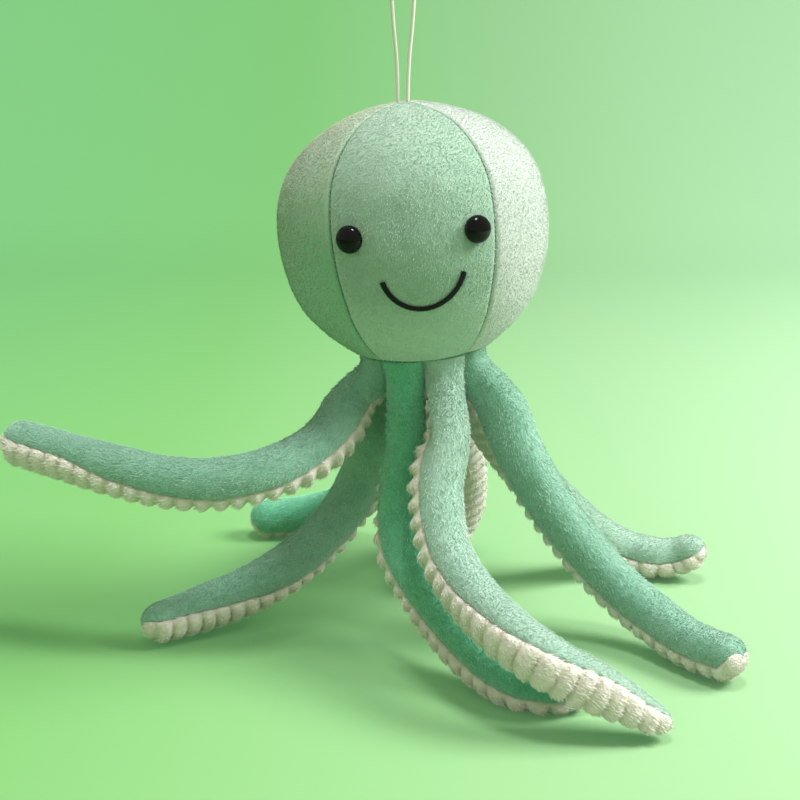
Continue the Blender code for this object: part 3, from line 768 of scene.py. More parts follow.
for link in (
    (stitch_in, "Geometry", row_curve, "Mesh"),
    (row_curve, "Curve", row_even, "Curve"),
    (stitch_in, "Spacing", row_even, "Length"),
    (row_out, "Attribute", row_across, 0),
    (row_along, "Tangent", row_across, 1),
    (stitch_in, "Seed", row_jitter, "Seed"),
    (stitch_in, "Slant", row_slant, 0),
    (row_jitter, 1, row_slant, 1),
    (row_slant, "Value", row_cos, 0),
    (row_slant, "Value", row_sin, 0),
    (row_along, "Tangent", row_long, 0),
    (row_cos, "Value", row_long, "Scale"),
    (row_across, "Vector", row_wide, 0),
    (row_sin, "Value", row_wide, "Scale"),
    (row_long, "Vector", row_way, 0),
    (row_wide, "Vector", row_way, 1),
    (row_out, "Attribute", row_turn, "Primary Axis"),
    (row_way, "Vector", row_turn, "Secondary Axis"),
    (stitch_in, "Thread Length", thread_size, "X"),
    (stitch_in, "Thread Width", thread_size, "Y"),
    (stitch_in, "Thread Width", thread_size, "Z"),
    (thread, "Mesh", thread_shaped, "Geometry"),
    (thread_size, "Vector", thread_shaped, "Scale"),
    (row_even, "Curve", row_stood, "Points"),
    (thread_shaped, "Geometry", row_stood, "Instance"),
    (row_turn, "Rotation", row_stood, "Rotation"),
    (row_stood, "Instances", row_real, "Geometry"),
    (row_real, "Geometry", row_smooth, "Geometry"),
    (row_smooth, "Geometry", row_dyed, "Geometry"),
    (stitch_in, "Material", row_dyed, "Material"),
    (row_dyed, "Geometry", stitch_out, "Geometry"),
):
    join(stitch_tree, *link)


def stitch_line(name, rows_of_spots):
    """Lines of points, each with the way out of the fabric there, for a row of stitches."""
    mesh = bmesh.new()
    layer = mesh.verts.layers.float_vector.new("out")
    for spots in rows_of_spots:
        made = []
        for point, out in spots:
            vertex = mesh.verts.new(point)
            vertex[layer] = out
            made.append(vertex)
        for a, b in zip(made, made[1:]):
            mesh.edges.new((a, b))
    data = bpy.data.meshes.new(name)
    mesh.to_mesh(data)
    mesh.free()
    return new_object(name, data)


def thread_material(name, dark, light, roughness):
    """Spun thread: shade and gloss vary along its fine fibres."""
    material, tree, shader = new_material(name, light, roughness, Specular_IOR_Level=0.22)
    place = add_node(tree, "ShaderNodeTexCoord")
    fibres = add_node(tree, "ShaderNodeTexNoise", values={"Scale": 4200.0, "Detail": 2.0})
    dye = add_node(tree, "ShaderNodeMix", data_type="RGBA", values={6: (*dark, 1), 7: (*light, 1)})
    raised = add_node(tree, "ShaderNodeBump", values={"Strength": 0.4, "Distance": 0.00006})
    for link in (
        (place, "Object", fibres, "Vector"),
        (fibres, "Fac", dye, "Factor"),
        (dye, "Result", shader, "Base Color"),
        (fibres, "Fac", raised, "Height"),
        (raised, "Normal", shader, "Normal"),
    ):
        join(tree, *link)
    return material


mint_thread = thread_material("mint_thread", (0.10, 0.21, 0.14), (0.22, 0.38, 0.28), 0.7)
seam_rows = []
for _, _, _, seam, _, _ in GORES:
    seam_rows.append([head_spot(seam(i / 60), i / 60, -SEAM_DEPTH) for i in range(2, 60)])
neck_row = []
for i in range(121):
    point, out = head_spot(2 * pi * i / 120, 0.0, -0.0006)
    neck_row.append((point, out))
seam_rows.append(neck_row)
gore_stitches = stitch_line("gore_stitches", seam_rows)
run_tree(
    gore_stitches,
    stitch_tree,
    {
        "Spacing": SEAM_SPACING,
        "Thread Length": SEAM_STITCH,
        "Thread Width": SEAM_THREAD,
        "Slant": 0.25,
        "Seed": 3,
        "Material": mint_thread,
    },
)
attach(gore_stitches, "head")


# The head's fill and the fabric disc under it: loose polyester fibre pressed into the gores, and a
# round of the same mint pile that closes the neck and carries the arms' roots.
white_fill = pile_material(
    "polyester_fill", (0.72, 0.72, 0.70), (0.90, 0.90, 0.88), patch_scale=120.0, grain_scale=900.0
)


def closed_loft(name, rings):
    """A closed body through rings of points that all have as many points."""
    mesh = bmesh.new()
    made = [[mesh.verts.new(p) for p in ring] for ring in rings]
    for near, far in zip(made, made[1:]):
        for i in range(len(near)):
            k = (i + 1) % len(near)
            mesh.faces.new((near[i], near[k], far[k], far[i]))
    for ring in (made[0], made[-1]):
        centre = mesh.verts.new(sum((v.co for v in ring), Vector()) / len(ring))
        for i in range(len(ring)):
            mesh.faces.new((ring[i], ring[(i + 1) % len(ring)], centre))
    return keep_mesh(name, mesh)


BASE_DISC = 0.002
fill_rings = []
for i in range(41):
    share = 0.022 + 0.93 * i / 40
    ring = []
    for j in range(64):
        here, normal = head_spot(2 * pi * j / 64, share)
        tuft = 0.0007 * noise.noise(here * 120) - HEAD_FABRIC - 0.0022
        ring.append(here + normal * tuft)
    fill_rings.append(ring)
head_fill = new_object("head_fill", closed_loft("head_fill", fill_rings), white_fill)
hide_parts("head_stuffing")
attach(head_fill, "head")

disc_outer, disc_inner = [], []
for i in range(15):
    reach = (NECK_WIDTH / 2 - HEAD_FABRIC) * i / 14
    dome = 0.0012 * cos(pi / 2 * i / 14)
    turns = [2 * pi * j / 48 for j in range(48)]
    for disc_rings, height in ((disc_outer, -dome), (disc_inner, BASE_DISC - dome)):
        ring = [head_place @ Vector((reach * cos(a), reach * sin(a), height)) for a in turns]
        disc_rings.append(ring)
neck_mesh = bmesh.new()
for face in (disc_outer, disc_inner):
    centre = neck_mesh.verts.new(face[0][0])
    made = [[neck_mesh.verts.new(p) for p in ring] for ring in face[1:]]
    for k in range(48):
        neck_mesh.faces.new((centre, made[0][k], made[0][(k + 1) % 48]))
        for near, far in zip(made, made[1:]):
            neck_mesh.faces.new((near[k], near[(k + 1) % 48], far[(k + 1) % 48], far[k]))
    if face is disc_outer:
        neck_rim = made[-1]
for k in range(48):
    neck_mesh.faces.new((neck_rim[k], neck_rim[(k + 1) % 48], made[-1][(k + 1) % 48], made[-1][k]))
neck_disc = new_object("neck_disc", keep_mesh("neck_disc", neck_mesh), mint_pile)
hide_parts("base_disc")
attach(neck_disc, "head")


# The eyes: 14 mm safety eyes, glossy black domes on ridged shanks that pass through the front gore.
# A washer pressed on each shank inside the head locks it.
EYE_WIDTH = 0.014
EYE_DOME = 0.0062
EYE_RIM = 0.0012
SHANK_WIDTH = 0.0044
SHANK_LENGTH = 0.013
EYE_AZIMUTH = radians(25.4)
EYE_HEIGHT_SHARE = 0.538


def rubbed_plastic(name, colour, roughness, marks, rub, **values):
    """Moulded plastic: fine marks of a (scale, detail) vary its roughness between two values."""
    material, tree, shader = new_material(name, colour, roughness, **values)
    place = add_node(tree, "ShaderNodeTexCoord")
    haze = add_node(tree, "ShaderNodeTexNoise", values={"Scale": marks[0], "Detail": marks[1]})
    varied = add_node(tree, "ShaderNodeMapRange", values={"To Min": rub[0], "To Max": rub[1]})
    join(tree, place, "Object", haze, "Vector")
    join(tree, haze, "Fac", varied, "Value")
    join(tree, varied, "Result", shader, "Roughness")
    return material


black_plastic = rubbed_plastic(
    "black_plastic", (0.002, 0.002, 0.002), 0.07, (420.0, 4.0), (0.07, 0.16), Specular_IOR_Level=0.22
)
washer_plastic = rubbed_plastic(
    "washer_plastic", (0.75, 0.75, 0.73), 0.4, (900.0, 3.0), (0.3, 0.55), Subsurface_Weight=0.1
)


def share_at(height):
    """The share of the way from neck to crown at which the head reaches a height."""
    for low, high in zip(PROFILE, PROFILE[1:]):
        if height <= high[1].y:
            return low[0] + (high[0] - low[0]) * (height - low[1].y) / (high[1].y - low[1].y)


def turned(name, profile, steps, place, material):
    """A closed body turned about its own axis from a profile that starts and ends on the axis."""
    mesh = bmesh.new()
    rings = []
    for radius, height in profile:
        if radius < 1e-7:
            rings.append([mesh.verts.new((0, 0, height))])
        else:
            turns = [2 * pi * j / steps for j in range(steps)]
            rings.append([mesh.verts.new((radius * cos(a), radius * sin(a), height)) for a in turns])
    for near, far in zip(rings, rings[1:]):
        for j in range(steps):
            k = (j + 1) % steps
            corners = [near[0]] if len(near) == 1 else [near[j], near[k]]
            corners += [far[0]] if len(far) == 1 else [far[k], far[j]]
            mesh.faces.new(corners)
    mesh.transform(place)
    return new_object(name, keep_mesh(name, mesh), material)


eye_radius, shank_radius = EYE_WIDTH / 2, SHANK_WIDTH / 2
eye_profile = []
for i in range(19):
    angle = pi / 2 * i / 18
    eye_profile.append((eye_radius * sin(angle), EYE_RIM + (EYE_DOME - EYE_RIM) * cos(angle)))
eye_profile += [
    (eye_radius - EYE_RIM * 0.02, EYE_RIM * 0.6),
    (eye_radius - EYE_RIM * 0.15, EYE_RIM * 0.25),
    (eye_radius - EYE_RIM * 0.5, 0.0),
    (shank_radius, 0.0),
]
for i in range(4):
    top = -0.0052 - 0.0017 * i
    eye_profile += [
        (shank_radius, top),
        (shank_radius + 0.0004, top - 0.0004),
        (shank_radius, top - 0.0008),
    ]
eye_profile += [
    (shank_radius, -SHANK_LENGTH + 0.0004),
    (shank_radius - 0.0004, -SHANK_LENGTH),
    (0.0, -SHANK_LENGTH),
]
for side, name in ((-1, "eye_left"), (1, "eye_right")):
    spot, out = head_spot(side * EYE_AZIMUTH, share_at(EYE_HEIGHT_SHARE * HEAD_HEIGHT), SEAM_GAP)
    sideways = Vector((0, 0, 1)).cross(out).normalized()
    place = Matrix.Translation(spot) @ Matrix((sideways, out.cross(sideways), out)).transposed().to_4x4()
    eye = turned(name + "_dome", eye_profile, 48, place, black_plastic)
    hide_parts(name)
    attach(eye, "head")
    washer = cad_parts[name + "_washer"]
    washer.data.materials.clear()
    washer.data.materials.append(washer_plastic)


# The smile: one band of black satin stitch, close threads laid across the line of the mouth.
# It is sewn through the front gore, so it lies in the pile.
SMILE_WIDTH = 0.0028
SMILE_CENTRE = 2.6
SMILE_HALF_ANGLE = 16.4
SMILE_END_SHARE = 0.38
SMILE_DIP_SHARE = 0.26
SMILE_LEAN_SHARE = 0.007
SMILE_ARC = radians(80)
SMILE_THREAD = 0.00075
SMILE_SPACING = 0.00034
THREAD_OVERLAP = 1.12

black_thread = thread_material("black_thread", (0.002, 0.002, 0.002), (0.012, 0.013, 0.011), 0.6)
smile_spots = []
for i in range(61):
    arc = SMILE_ARC * (2 * i / 60 - 1)
    turn = sin(arc) / sin(SMILE_ARC)
    azimuth = radians(SMILE_CENTRE + SMILE_HALF_ANGLE * turn)
    rise = (1 - cos(arc)) / (1 - cos(SMILE_ARC))
    bend = SMILE_DIP_SHARE + (SMILE_END_SHARE - SMILE_DIP_SHARE) * rise + SMILE_LEAN_SHARE * turn
    smile_spots.append(head_spot(azimuth, share_at(bend * HEAD_HEIGHT), 0.0009))
smile = stitch_line("smile_stitches", [smile_spots])
run_tree(
    smile,
    stitch_tree,
    {
        "Spacing": SMILE_SPACING,
        "Thread Length": SMILE_WIDTH * THREAD_OVERLAP,
        "Thread Width": SMILE_THREAD,
        "Slant": radians(84),
        "Seed": 11,
        "Material": black_thread,
    },
)
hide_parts("smile_embroidery")
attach(smile, "head")


# The eight arms: each is a mint pile cover about two thirds of the way round, closed underneath by a
# strip of cream white pile woven in cross ribs, stuffed, and sewn by its root under the neck.
ARM_COUNT = 8
ARM_LENGTH = 0.236
ARM_WIDTH = 0.026
ARM_FABRIC = 0.0016
ARM_ROOT_WIDTH = 0.0196
ARM_ROOT_RING = 0.0245
COVER_REACH = radians(122)
ROOT_REACH = radians(158)
ROOT_CLOSED = 0.026
# How much of the cover's width is left at the very tip, where the white strip wraps up over it.
TIP_COVER_SHARE = 0.5
TIP_COVER_SHARES = {
    "right_front": 0.0,
    "right_rear": 1.0,
    "front_right": 0.7,
    "left_front": 0.7,
    "left_rear": 0.7,
}
STRETCH_SHARES = {"front_right": 1.045}
ARM_DROP = radians(12)
ARM_SWELL_SHARES = ((0.0, 0.77), (0.05, 0.84), (0.13, 1.0), (0.35, 0.96), (0.7, 0.92), (1.0, 0.8))
ROOT_DROP = ARM_ROOT_WIDTH / 2 + SEAM_GAP
TIP_RADIUS = ARM_SWELL_SHARES[-1][1] * ARM_WIDTH / 2
SECTOR = 2 * pi / ARM_COUNT
ROOT_TOP = ROOT_DROP - 0.0002
ROOT_BEND = 0.009
ROOT_SPREAD = 0.026
PRESSED_START = 0.029
PRESSED_END = 0.052
CREASE_PITCH = 0.0046
CREASE_DEPTH = 0.0002
CREASE_DEPTHS = {"front_left": 0.0008}
RIB_PITCH = 0.0086
RIB_HEIGHT = 0.0026
GROOVE_SHARE = 0.6
RIB_UNEVENNESS = 0.002
RIBS_FREE_FROM = {"front_right": 0.026}
# The ends of some arms are stuffed slimmer, over their last stretch, and sag by a share of it.
END_TAPER = 0.034
END_SAG = 0.8
TIP_SLIM_SHARES = {"front_right": 0.6, "right_rear": 0.85, "left_rear": 0.85}

# Each arm's centre line from its root, as shares of the arm's length: outward, sideways, up.
# The last value of each row turns the arm's top about its centre line, in degrees.
ARM_SHARES = {
    "front_left": (
        (0.0, -0.01, -0.155, -20),
        (0.035, -0.02, -0.27, -50),
        (0.085, -0.01, -0.38, -75),
        (0.125, 0.05, -0.46, -75),
        (0.17, 0.12, -0.52, -85),
        (0.22, 0.21, -0.573, -85),
        (0.26, 0.3, -0.597, -75),
        (0.26, 0.375, -0.603, -65),
        (0.225, 0.425, -0.607, -60),
    ),
    "front_right": (
        (0.075, -0.04, -0.13, -42),
        (0.12, -0.085, -0.235, -45),
        (0.19, -0.105, -0.34, -47),
        (0.285, -0.1, -0.405, -50),
        (0.405, -0.08, -0.45, -65),
        (0.49, -0.035, -0.495, -85),
        (0.535, 0.025, -0.54, -100),
        (0.58, 0.1, -0.585, -105),
    ),
    "right_front": (
        (0.075, 0.0, -0.09, 35),
        (0.125, -0.015, -0.205, 30),
        (0.185, 0.0, -0.33, 20),
        (0.25, 0.025, -0.44, 10),
        (0.32, 0.03, -0.525, 0),
        (0.41, 0.01, -0.59, -5),
        (0.51, -0.05, -0.62, -5),
        (0.62, -0.105, -0.625, 0),
    ),
    "right_rear": (
        (0.035, 0.005, -0.115, -5),
        (0.175, 0.05, -0.33, -10),
        (0.35, 0.08, -0.53, -10),
        (0.445, 0.07, -0.605, -15),
        (0.51, 0.02, -0.625, -10),
        (0.56, -0.01, -0.62, -10),
        (0.59, -0.045, -0.6, -10),
    ),
    "rear_right": (
        (0.08, 0.015, -0.165, -20),
        (0.185, 0.03, -0.305, -35),
        (0.28, 0.07, -0.455, -35),
        (0.31, 0.115, -0.55, -25),
        (0.26, 0.135, -0.585, -15),
        (0.14, 0.105, -0.58, -5),
        (0.02, 0.065, -0.575, -5),
    ),
    "rear_left": (
        (0.12, -0.015, -0.215, -35),
        (0.3, -0.025, -0.36, -50),
        (0.43, 0.0, -0.475, -55),
        (0.5, 0.06, -0.52, -55),
        (0.555, 0.15, -0.54, -55),
        (0.595, 0.26, -0.54, -55),
    ),
    "left_rear": (
        (0.045, -0.01, -0.17, -50),
        (0.1, -0.035, -0.295, -60),
        (0.15, -0.005, -0.385, -60),
        (0.2, 0.07, -0.445, -55),
        (0.255, 0.16, -0.485, -40),
        (0.32, 0.24, -0.51, -15),
        (0.385, 0.315, -0.52, -5),
        (0.44, 0.39, -0.52, 5),
    ),
    "left_front": (
        (0.07, -0.015, -0.055, 20),
        (0.135, 0.01, -0.115, 25),
        (0.215, 0.04, -0.15, 22),
        (0.32, 0.05, -0.17, 6),
        (0.43, 0.025, -0.175, 2),
        (0.53, -0.015, -0.16, 12),
        (0.625, -0.07, -0.13, 22),
        (0.71, -0.135, -0.1, 45),
        (0.785, -0.2, -0.075, 48),
    ),
}

rib_tree, rib_in, rib_out = new_tree(
    "cross_ribs",
    (
        ("Rib Pitch", "Float"),
        ("Rib Height", "Float"),
        ("Groove Share", "Float"),
        ("Unevenness", "Float"),
        ("Material", "Material"),
    ),
)
rib_run = add_node(rib_tree, "GeometryNodeInputNamedAttribute", values={"Name": "run"})
rib_lift = add_node(rib_tree, "GeometryNodeInputNamedAttribute", values={"Name": "lift"})
rib_spot = add_node(rib_tree, "GeometryNodeInputPosition")
rib_stray = add_node(rib_tree, "ShaderNodeTexNoise", values={"Scale": 90.0, "Detail": 1.0})
rib_tufts = add_node(rib_tree, "ShaderNodeTexNoise", values={"Scale": 700.0, "Detail": 2.0})
rib_centred = add_node(rib_tree, "ShaderNodeMath", operation="SUBTRACT", values={1: 0.5})
rib_strayed = add_node(rib_tree, "ShaderNodeMath", operation="MULTIPLY_ADD")
rib_counted = add_node(rib_tree, "ShaderNodeMath", operation="DIVIDE")
rib_within = add_node(rib_tree, "ShaderNodeMath", operation="FRACT")
rib_swing = add_node(rib_tree, "ShaderNodeMath", operation="MULTIPLY_ADD", values={1: 2.0, 2: -1.0})
rib_away = add_node(rib_tree, "ShaderNodeMath", operation="ABSOLUTE")
rib_peak = add_node(rib_tree, "GeometryNodeInputNamedAttribute", values={"Name": "peak"})
rib_form = add_node(rib_tree, "ShaderNodeMath", operation="MULTIPLY_ADD", values={1: -1.3, 2: 2.4})
rib_steep = add_node(rib_tree, "ShaderNodeMath", operation="POWER")
rib_round = add_node(rib_tree, "ShaderNodeMath", operation="SUBTRACT", values={0: 1.0})
rib_sharp = add_node(rib_tree, "ShaderNodeMath", operation="MULTIPLY_ADD", values={1: 0.5})
rib_crown = add_node(rib_tree, "ShaderNodeMath", operation="POWER", use_clamp=True)
rib_raised = add_node(rib_tree, "ShaderNodeMath", operation="MULTIPLY")
rib_tufted = add_node(rib_tree, "ShaderNodeMath", operation="MULTIPLY_ADD", values={1: 0.25, 2: 0.875})
rib_rough = add_node(rib_tree, "ShaderNodeMath", operation="MULTIPLY")
rib_tall = add_node(rib_tree, "ShaderNodeMath", operation="MULTIPLY")
rib_normal = add_node(rib_tree, "GeometryNodeInputNormal")
rib_offset = add_node(rib_tree, "ShaderNodeVectorMath", operation="SCALE")
rib_moved = add_node(rib_tree, "GeometryNodeSetPosition")
rib_skin = add_node(rib_tree, "GeometryNodeInputNamedAttribute", values={"Name": "skin"})
rib_open = add_node(rib_tree, "ShaderNodeMath", operation="GREATER_THAN", values={1: 0.55})
rib_kept = add_node(rib_tree, "ShaderNodeMath", operation="MULTIPLY")
rib_bare = add_node(rib_tree, "GeometryNodeStoreNamedAttribute", values={"Name": "skin"})
# How deep each point lies in a groove, stored as the groove attribute; the pile's colour darkens with it:
# painted shade in the grooves.
rib_sunk = add_node(rib_tree, "ShaderNodeMath", operation="SUBTRACT", values={0: 1.0})
rib_groove_shade = add_node(rib_tree, "GeometryNodeStoreNamedAttribute", values={"Name": "groove"})
rib_real = add_node(rib_tree, "GeometryNodeRealizeInstances")
rib_dyed = add_node(rib_tree, "GeometryNodeSetMaterial")
for link in (
    (rib_spot, "Position", rib_stray, "Vector"),
    (rib_spot, "Position", rib_tufts, "Vector"),
    (rib_stray, "Fac", rib_centred, 0),
    (rib_centred, "Value", rib_strayed, 0),
    (rib_in, "Unevenness", rib_strayed, 1),
    (rib_run, "Attribute", rib_strayed, 2),
    (rib_strayed, "Value", rib_counted, 0),
    (rib_in, "Rib Pitch", rib_counted, 1),
    (rib_counted, "Value", rib_within, 0),
    (rib_within, "Value", rib_swing, 0),
    (rib_swing, "Value", rib_away, 0),
    (rib_away, "Value", rib_steep, 0),
    (rib_peak, "Attribute", rib_form, 0),
    (rib_form, "Value", rib_steep, 1),
    (rib_steep, "Value", rib_round, 1),
    (rib_round, "Value", rib_crown, 0),
    (rib_peak, "Attribute", rib_sharp, 0),
    (rib_in, "Groove Share", rib_sharp, 2),
    (rib_sharp, "Value", rib_crown, 1),
    (rib_crown, "Value", rib_raised, 0),
    (rib_lift, "Attribute", rib_raised, 1),
    (rib_tufts, "Fac", rib_tufted, 0),
    (rib_raised, "Value", rib_rough, 0),
    (rib_tufted, "Value", rib_rough, 1),
    (rib_rough, "Value", rib_tall, 0),
    (rib_in, "Rib Height", rib_tall, 1),
    (rib_normal, "Normal", rib_offset, 0),
    (rib_tall, "Value", rib_offset, "Scale"),
    (rib_in, "Geometry", rib_moved, "Geometry"),
    (rib_offset, "Vector", rib_moved, "Offset"),
    (rib_crown, "Value", rib_open, 0),
    (rib_open, "Value", rib_kept, 0),
    (rib_skin, "Attribute", rib_kept, 1),
    (rib_kept, "Value", rib_bare, "Value"),
    (rib_moved, "Geometry", rib_bare, "Geometry"),
    (rib_crown, "Value", rib_sunk, 1),
    (rib_sunk, "Value", rib_groove_shade, "Value"),
    (rib_bare, "Geometry", rib_groove_shade, "Geometry"),
    (rib_groove_shade, "Geometry", rib_real, "Geometry"),
    (rib_real, "Geometry", rib_dyed, "Geometry"),
    (rib_in, "Material", rib_dyed, "Material"),
    (rib_dyed, "Geometry", rib_out, "Geometry"),
):
    join(rib_tree, *link)

white_rib_pile = pile_material(
    "white_rib_pile",
    (0.69, 0.64, 0.56),
    (0.98, 0.95, 0.90),
    patch_scale=260.0,
    grain_scale=1900.0,
    sheen=0.4,
    bump=0.0005,
    spread=0.5,
)

# Darker and paler copies of the mint pile: painted shade on the arms that lie in shade, and painted light
# on the arms the key light falls on.
shaded_mint_pile = pile_material(
    "shaded_mint_pile", (0.035, 0.33, 0.16), (0.27, 0.76, 0.52), sheen=1.0, spread=0.5
)
lit_mint_pile = pile_material(
    "lit_mint_pile", (0.23, 0.45, 0.34), (0.53, 0.71, 0.60), sheen=1.0, spread=0.4
)
COVER_PILE = {
    "density": 1500000.0,
    "length": 0.0016,
    "width": 0.0004,
    "lean": 1.3,
    "swirls": 380.0,
    "waviness": 2.2,
}
RIB_PILE = {
    "density": 1000000.0,
    "length": 0.002,
    "width": 0.00045,
    "lean": 1.6,
    "swirls": 300.0,
    "waviness": 0.9,
}
# Which arms get the painted-shade copy of the mint pile and which get the painted-light copy.
ARM_LIGHT_COPIES = {
    "front_left": shaded_mint_pile,
    "rear_left": shaded_mint_pile,
    "front_right": lit_mint_pile,
    "right_rear": lit_mint_pile,
}


def arm_line(shares):
    """The arm's centre line with its top direction: rows of (distance, point, along, top)."""
    rows = [Vector((0, 0, 0))] + [Vector(row[:3]) * ARM_LENGTH for row in shares]
    steps = 16
    points = curve_through(rows, steps)
    turns = [(0.0, radians(shares[0][3]))]
    turns += [(i + 1.0, radians(row[3])) for i, row in enumerate(shares)]
    line = []
    distance = 0.0
    top = Vector((1, 0, 0))
    for i, here in enumerate(points):
        along = (points[min(i + 1, len(points) - 1)] - points[max(i - 1, 0)]).normalized()
        top = (top - along * top.dot(along)).normalized()
        if i:
            distance += (here - points[i - 1]).length
        turned_top = Matrix.Rotation(between(turns, i / steps), 3, along) @ top
        line.append((distance, here.copy(), along, turned_top))
    last = line[-1]
    line.append((last[0] + ARM_LENGTH, last[1] + last[2] * ARM_LENGTH, last[2], last[3]))
    return line


def along_line(line, distance):
    """Point, direction and top on the centre line at a distance from the hinge."""
    for low, high in zip(line, line[1:]):
        if distance <= high[0]:
            break
    share = (distance - low[0]) / (high[0] - low[0])
    along = low[2].lerp(high[2], share).normalized()
    top = low[3].lerp(high[3], share)
    return low[1].lerp(high[1], share), along, (top - along * top.dot(along)).normalized()


def arm_station(line, distance):
    """The same, with the root brought straight up to the neck in an easy bend."""
    if distance >= ROOT_BEND:
        return along_line(line, distance)
    end, _, end_top = along_line(line, ROOT_BEND)
    start, corner = Vector((0, 0, ROOT_TOP)), Vector((0, 0, 0.001))
    t = (distance + ROOT_TOP) / (ROOT_BEND + ROOT_TOP)
    point = start * (1 - t) ** 2 + corner * (2 * t * (1 - t)) + end * t**2
    along = ((corner - start) * (1 - t) + (end - corner) * t).normalized()
    return point, along, (end_top - along * end_top.dot(along)).normalized()


def slimmed(length, distance, slim):
    """How much of the arm's radius its tapered end has lost at a distance."""
    into_end = min(1.0, max(0.0, 1 - (length - TIP_RADIUS / 2 - distance) / END_TAPER))
    return (1 - slim) * into_end * into_end * (3 - 2 * into_end) * TIP_RADIUS


def arm_radius(length, distance, depth, slim):
    """The arm's radius at a depth under its face: a drawn-in root, full thickness, a round tip.

    A slim below 1 tapers the end of the arm to that share of its thickness."""
    full = between(ARM_SWELL_SHARES, distance / length) * ARM_WIDTH / 2
    full = full - slimmed(length, distance, slim) - depth
    into_tip = distance - (length - TIP_RADIUS)
    if into_tip > 0:
        return full * sqrt(max(1 - (into_tip / (TIP_RADIUS - depth)) ** 2, 0.0))
    return full


def pressed(point, depth):
    """Keep a point of a root inside its own sector of the ring, also with the arm dropped."""
    inmost = min(point.x, point.x * cos(ARM_DROP) + point.z * sin(ARM_DROP))
    room = (ARM_ROOT_RING + inmost) * tan(SECTOR / 2) - SEAM_GAP / 2 / cos(SECTOR / 2) - depth
    return Vector((point.x, max(-room, min(room, point.y)), point.z))


def arm_point(line, length, slim, distance, angle, depth, proud=0.0):
    """A point on an arm, in its hinge's frame, at an angle from its top and a depth under its face.

    The root fills its own eighth of the neck and is pressed flat by its neighbours."""
    point, along, top = arm_station(line, distance)
    across = along.cross(top)
    radius = arm_radius(length, distance, depth, slim)
    out = top * cos(angle) + across * sin(angle)
    point = point - Vector((0, 0, END_SAG * slimmed(length, distance, slim)))
    spot = point + out * (radius + proud * min(1, radius / 0.006))
    if distance > PRESSED_END:
        return spot
    full = max(0.0, 1 - (distance + ROOT_TOP) / ROOT_SPREAD) ** 2
    x, y = spot.x - point.x, spot.y - point.y
    reach = sqrt(x * x + y * y)
    if full > 0 and reach > 0:
        square = ((x / reach) ** 4 + (y / reach) ** 4) ** -0.25
        x *= 1 + full * (square - 1)
        y *= (1 + full * (square - 1)) * (1 + 0.12 * full)
        spot = Vector((point.x + x, point.y + y, spot.z))
    held = pressed(spot, depth)
    fade = min(1, max(0, (distance - PRESSED_START) / (PRESSED_END - PRESSED_START)))
    return held.lerp(spot, fade * fade * (3 - 2 * fade))


def arm_rows(length, pitch, depth):
    """Distances along an arm for its rows of points, closer together round the tip."""
    body = length - TIP_RADIUS
    count = round((body + ROOT_TOP) / pitch)
    rows = [-ROOT_TOP + (body + ROOT_TOP) * i / count for i in range(count + 1)]
    turns = round(TIP_RADIUS * pi / 2 / pitch)
    return rows + [body + (TIP_RADIUS - depth) * sin(pi / 2 * i / turns) for i in range(1, turns + 1)]


def into_tip(length, distance):
    """How far into the round tip a distance lies, from 0 to 1."""
    return max(0.0, (distance - (length - TIP_RADIUS)) / TIP_RADIUS)


def cover_reach(length, distance, tip_share):
    """How far round the cover goes: nearly closed at the crowded root, drawn back round the tip."""
    near_root = max(0.0, 1 - (distance + ROOT_TOP) / ROOT_CLOSED)
    reach = COVER_REACH + (ROOT_REACH - COVER_REACH) * sqrt(near_root)
    return reach * (1 - (1 - tip_share) * into_tip(length, distance) ** 2)


def arm_cover(name, line, length, slim, place, crease, tip_share):
    """The mint cover: pile over the top and sides, its two long edges rolled in at the seams."""
    columns = 34
    outer, inner = [], []
    for near, far in zip(arm_rows(length, 0.0012, 0.0), arm_rows(length, 0.0012, ARM_FABRIC)):
        radius = max(arm_radius(length, near, 0.0, slim), 0.0005)
        reach = cover_reach(length, near, tip_share)
        face, back = [], []
        for j in range(columns + 1):
            t = 2 * j / columns - 1
            angle = reach * (0.72 * t + 0.28 * sin(pi / 2 * t))
            edge = max(reach - abs(angle), 0.0) * radius
            roll = rolled_in(edge) * min(1, radius / 0.008)
            here = place @ arm_point(line, length, slim, near, angle, 0.0)
            slack = max(0.0, 1 - abs(near - 0.02) / 0.022)
            waves = sin(near * 2 * pi / CREASE_PITCH + 4 * noise.noise(here * 45))
            stuffed = 0.0005 * noise.noise(here * 55) + crease * slack * waves
            face.append(place @ arm_point(line, length, slim, near, angle, 0.0, stuffed - roll + 0.0003))
            back.append(place @ arm_point(line, length, slim, far, angle, ARM_FABRIC + 0.0004))
        outer.append(face)
        inner.append(back)
    return fabric_sheet(name, outer, inner)


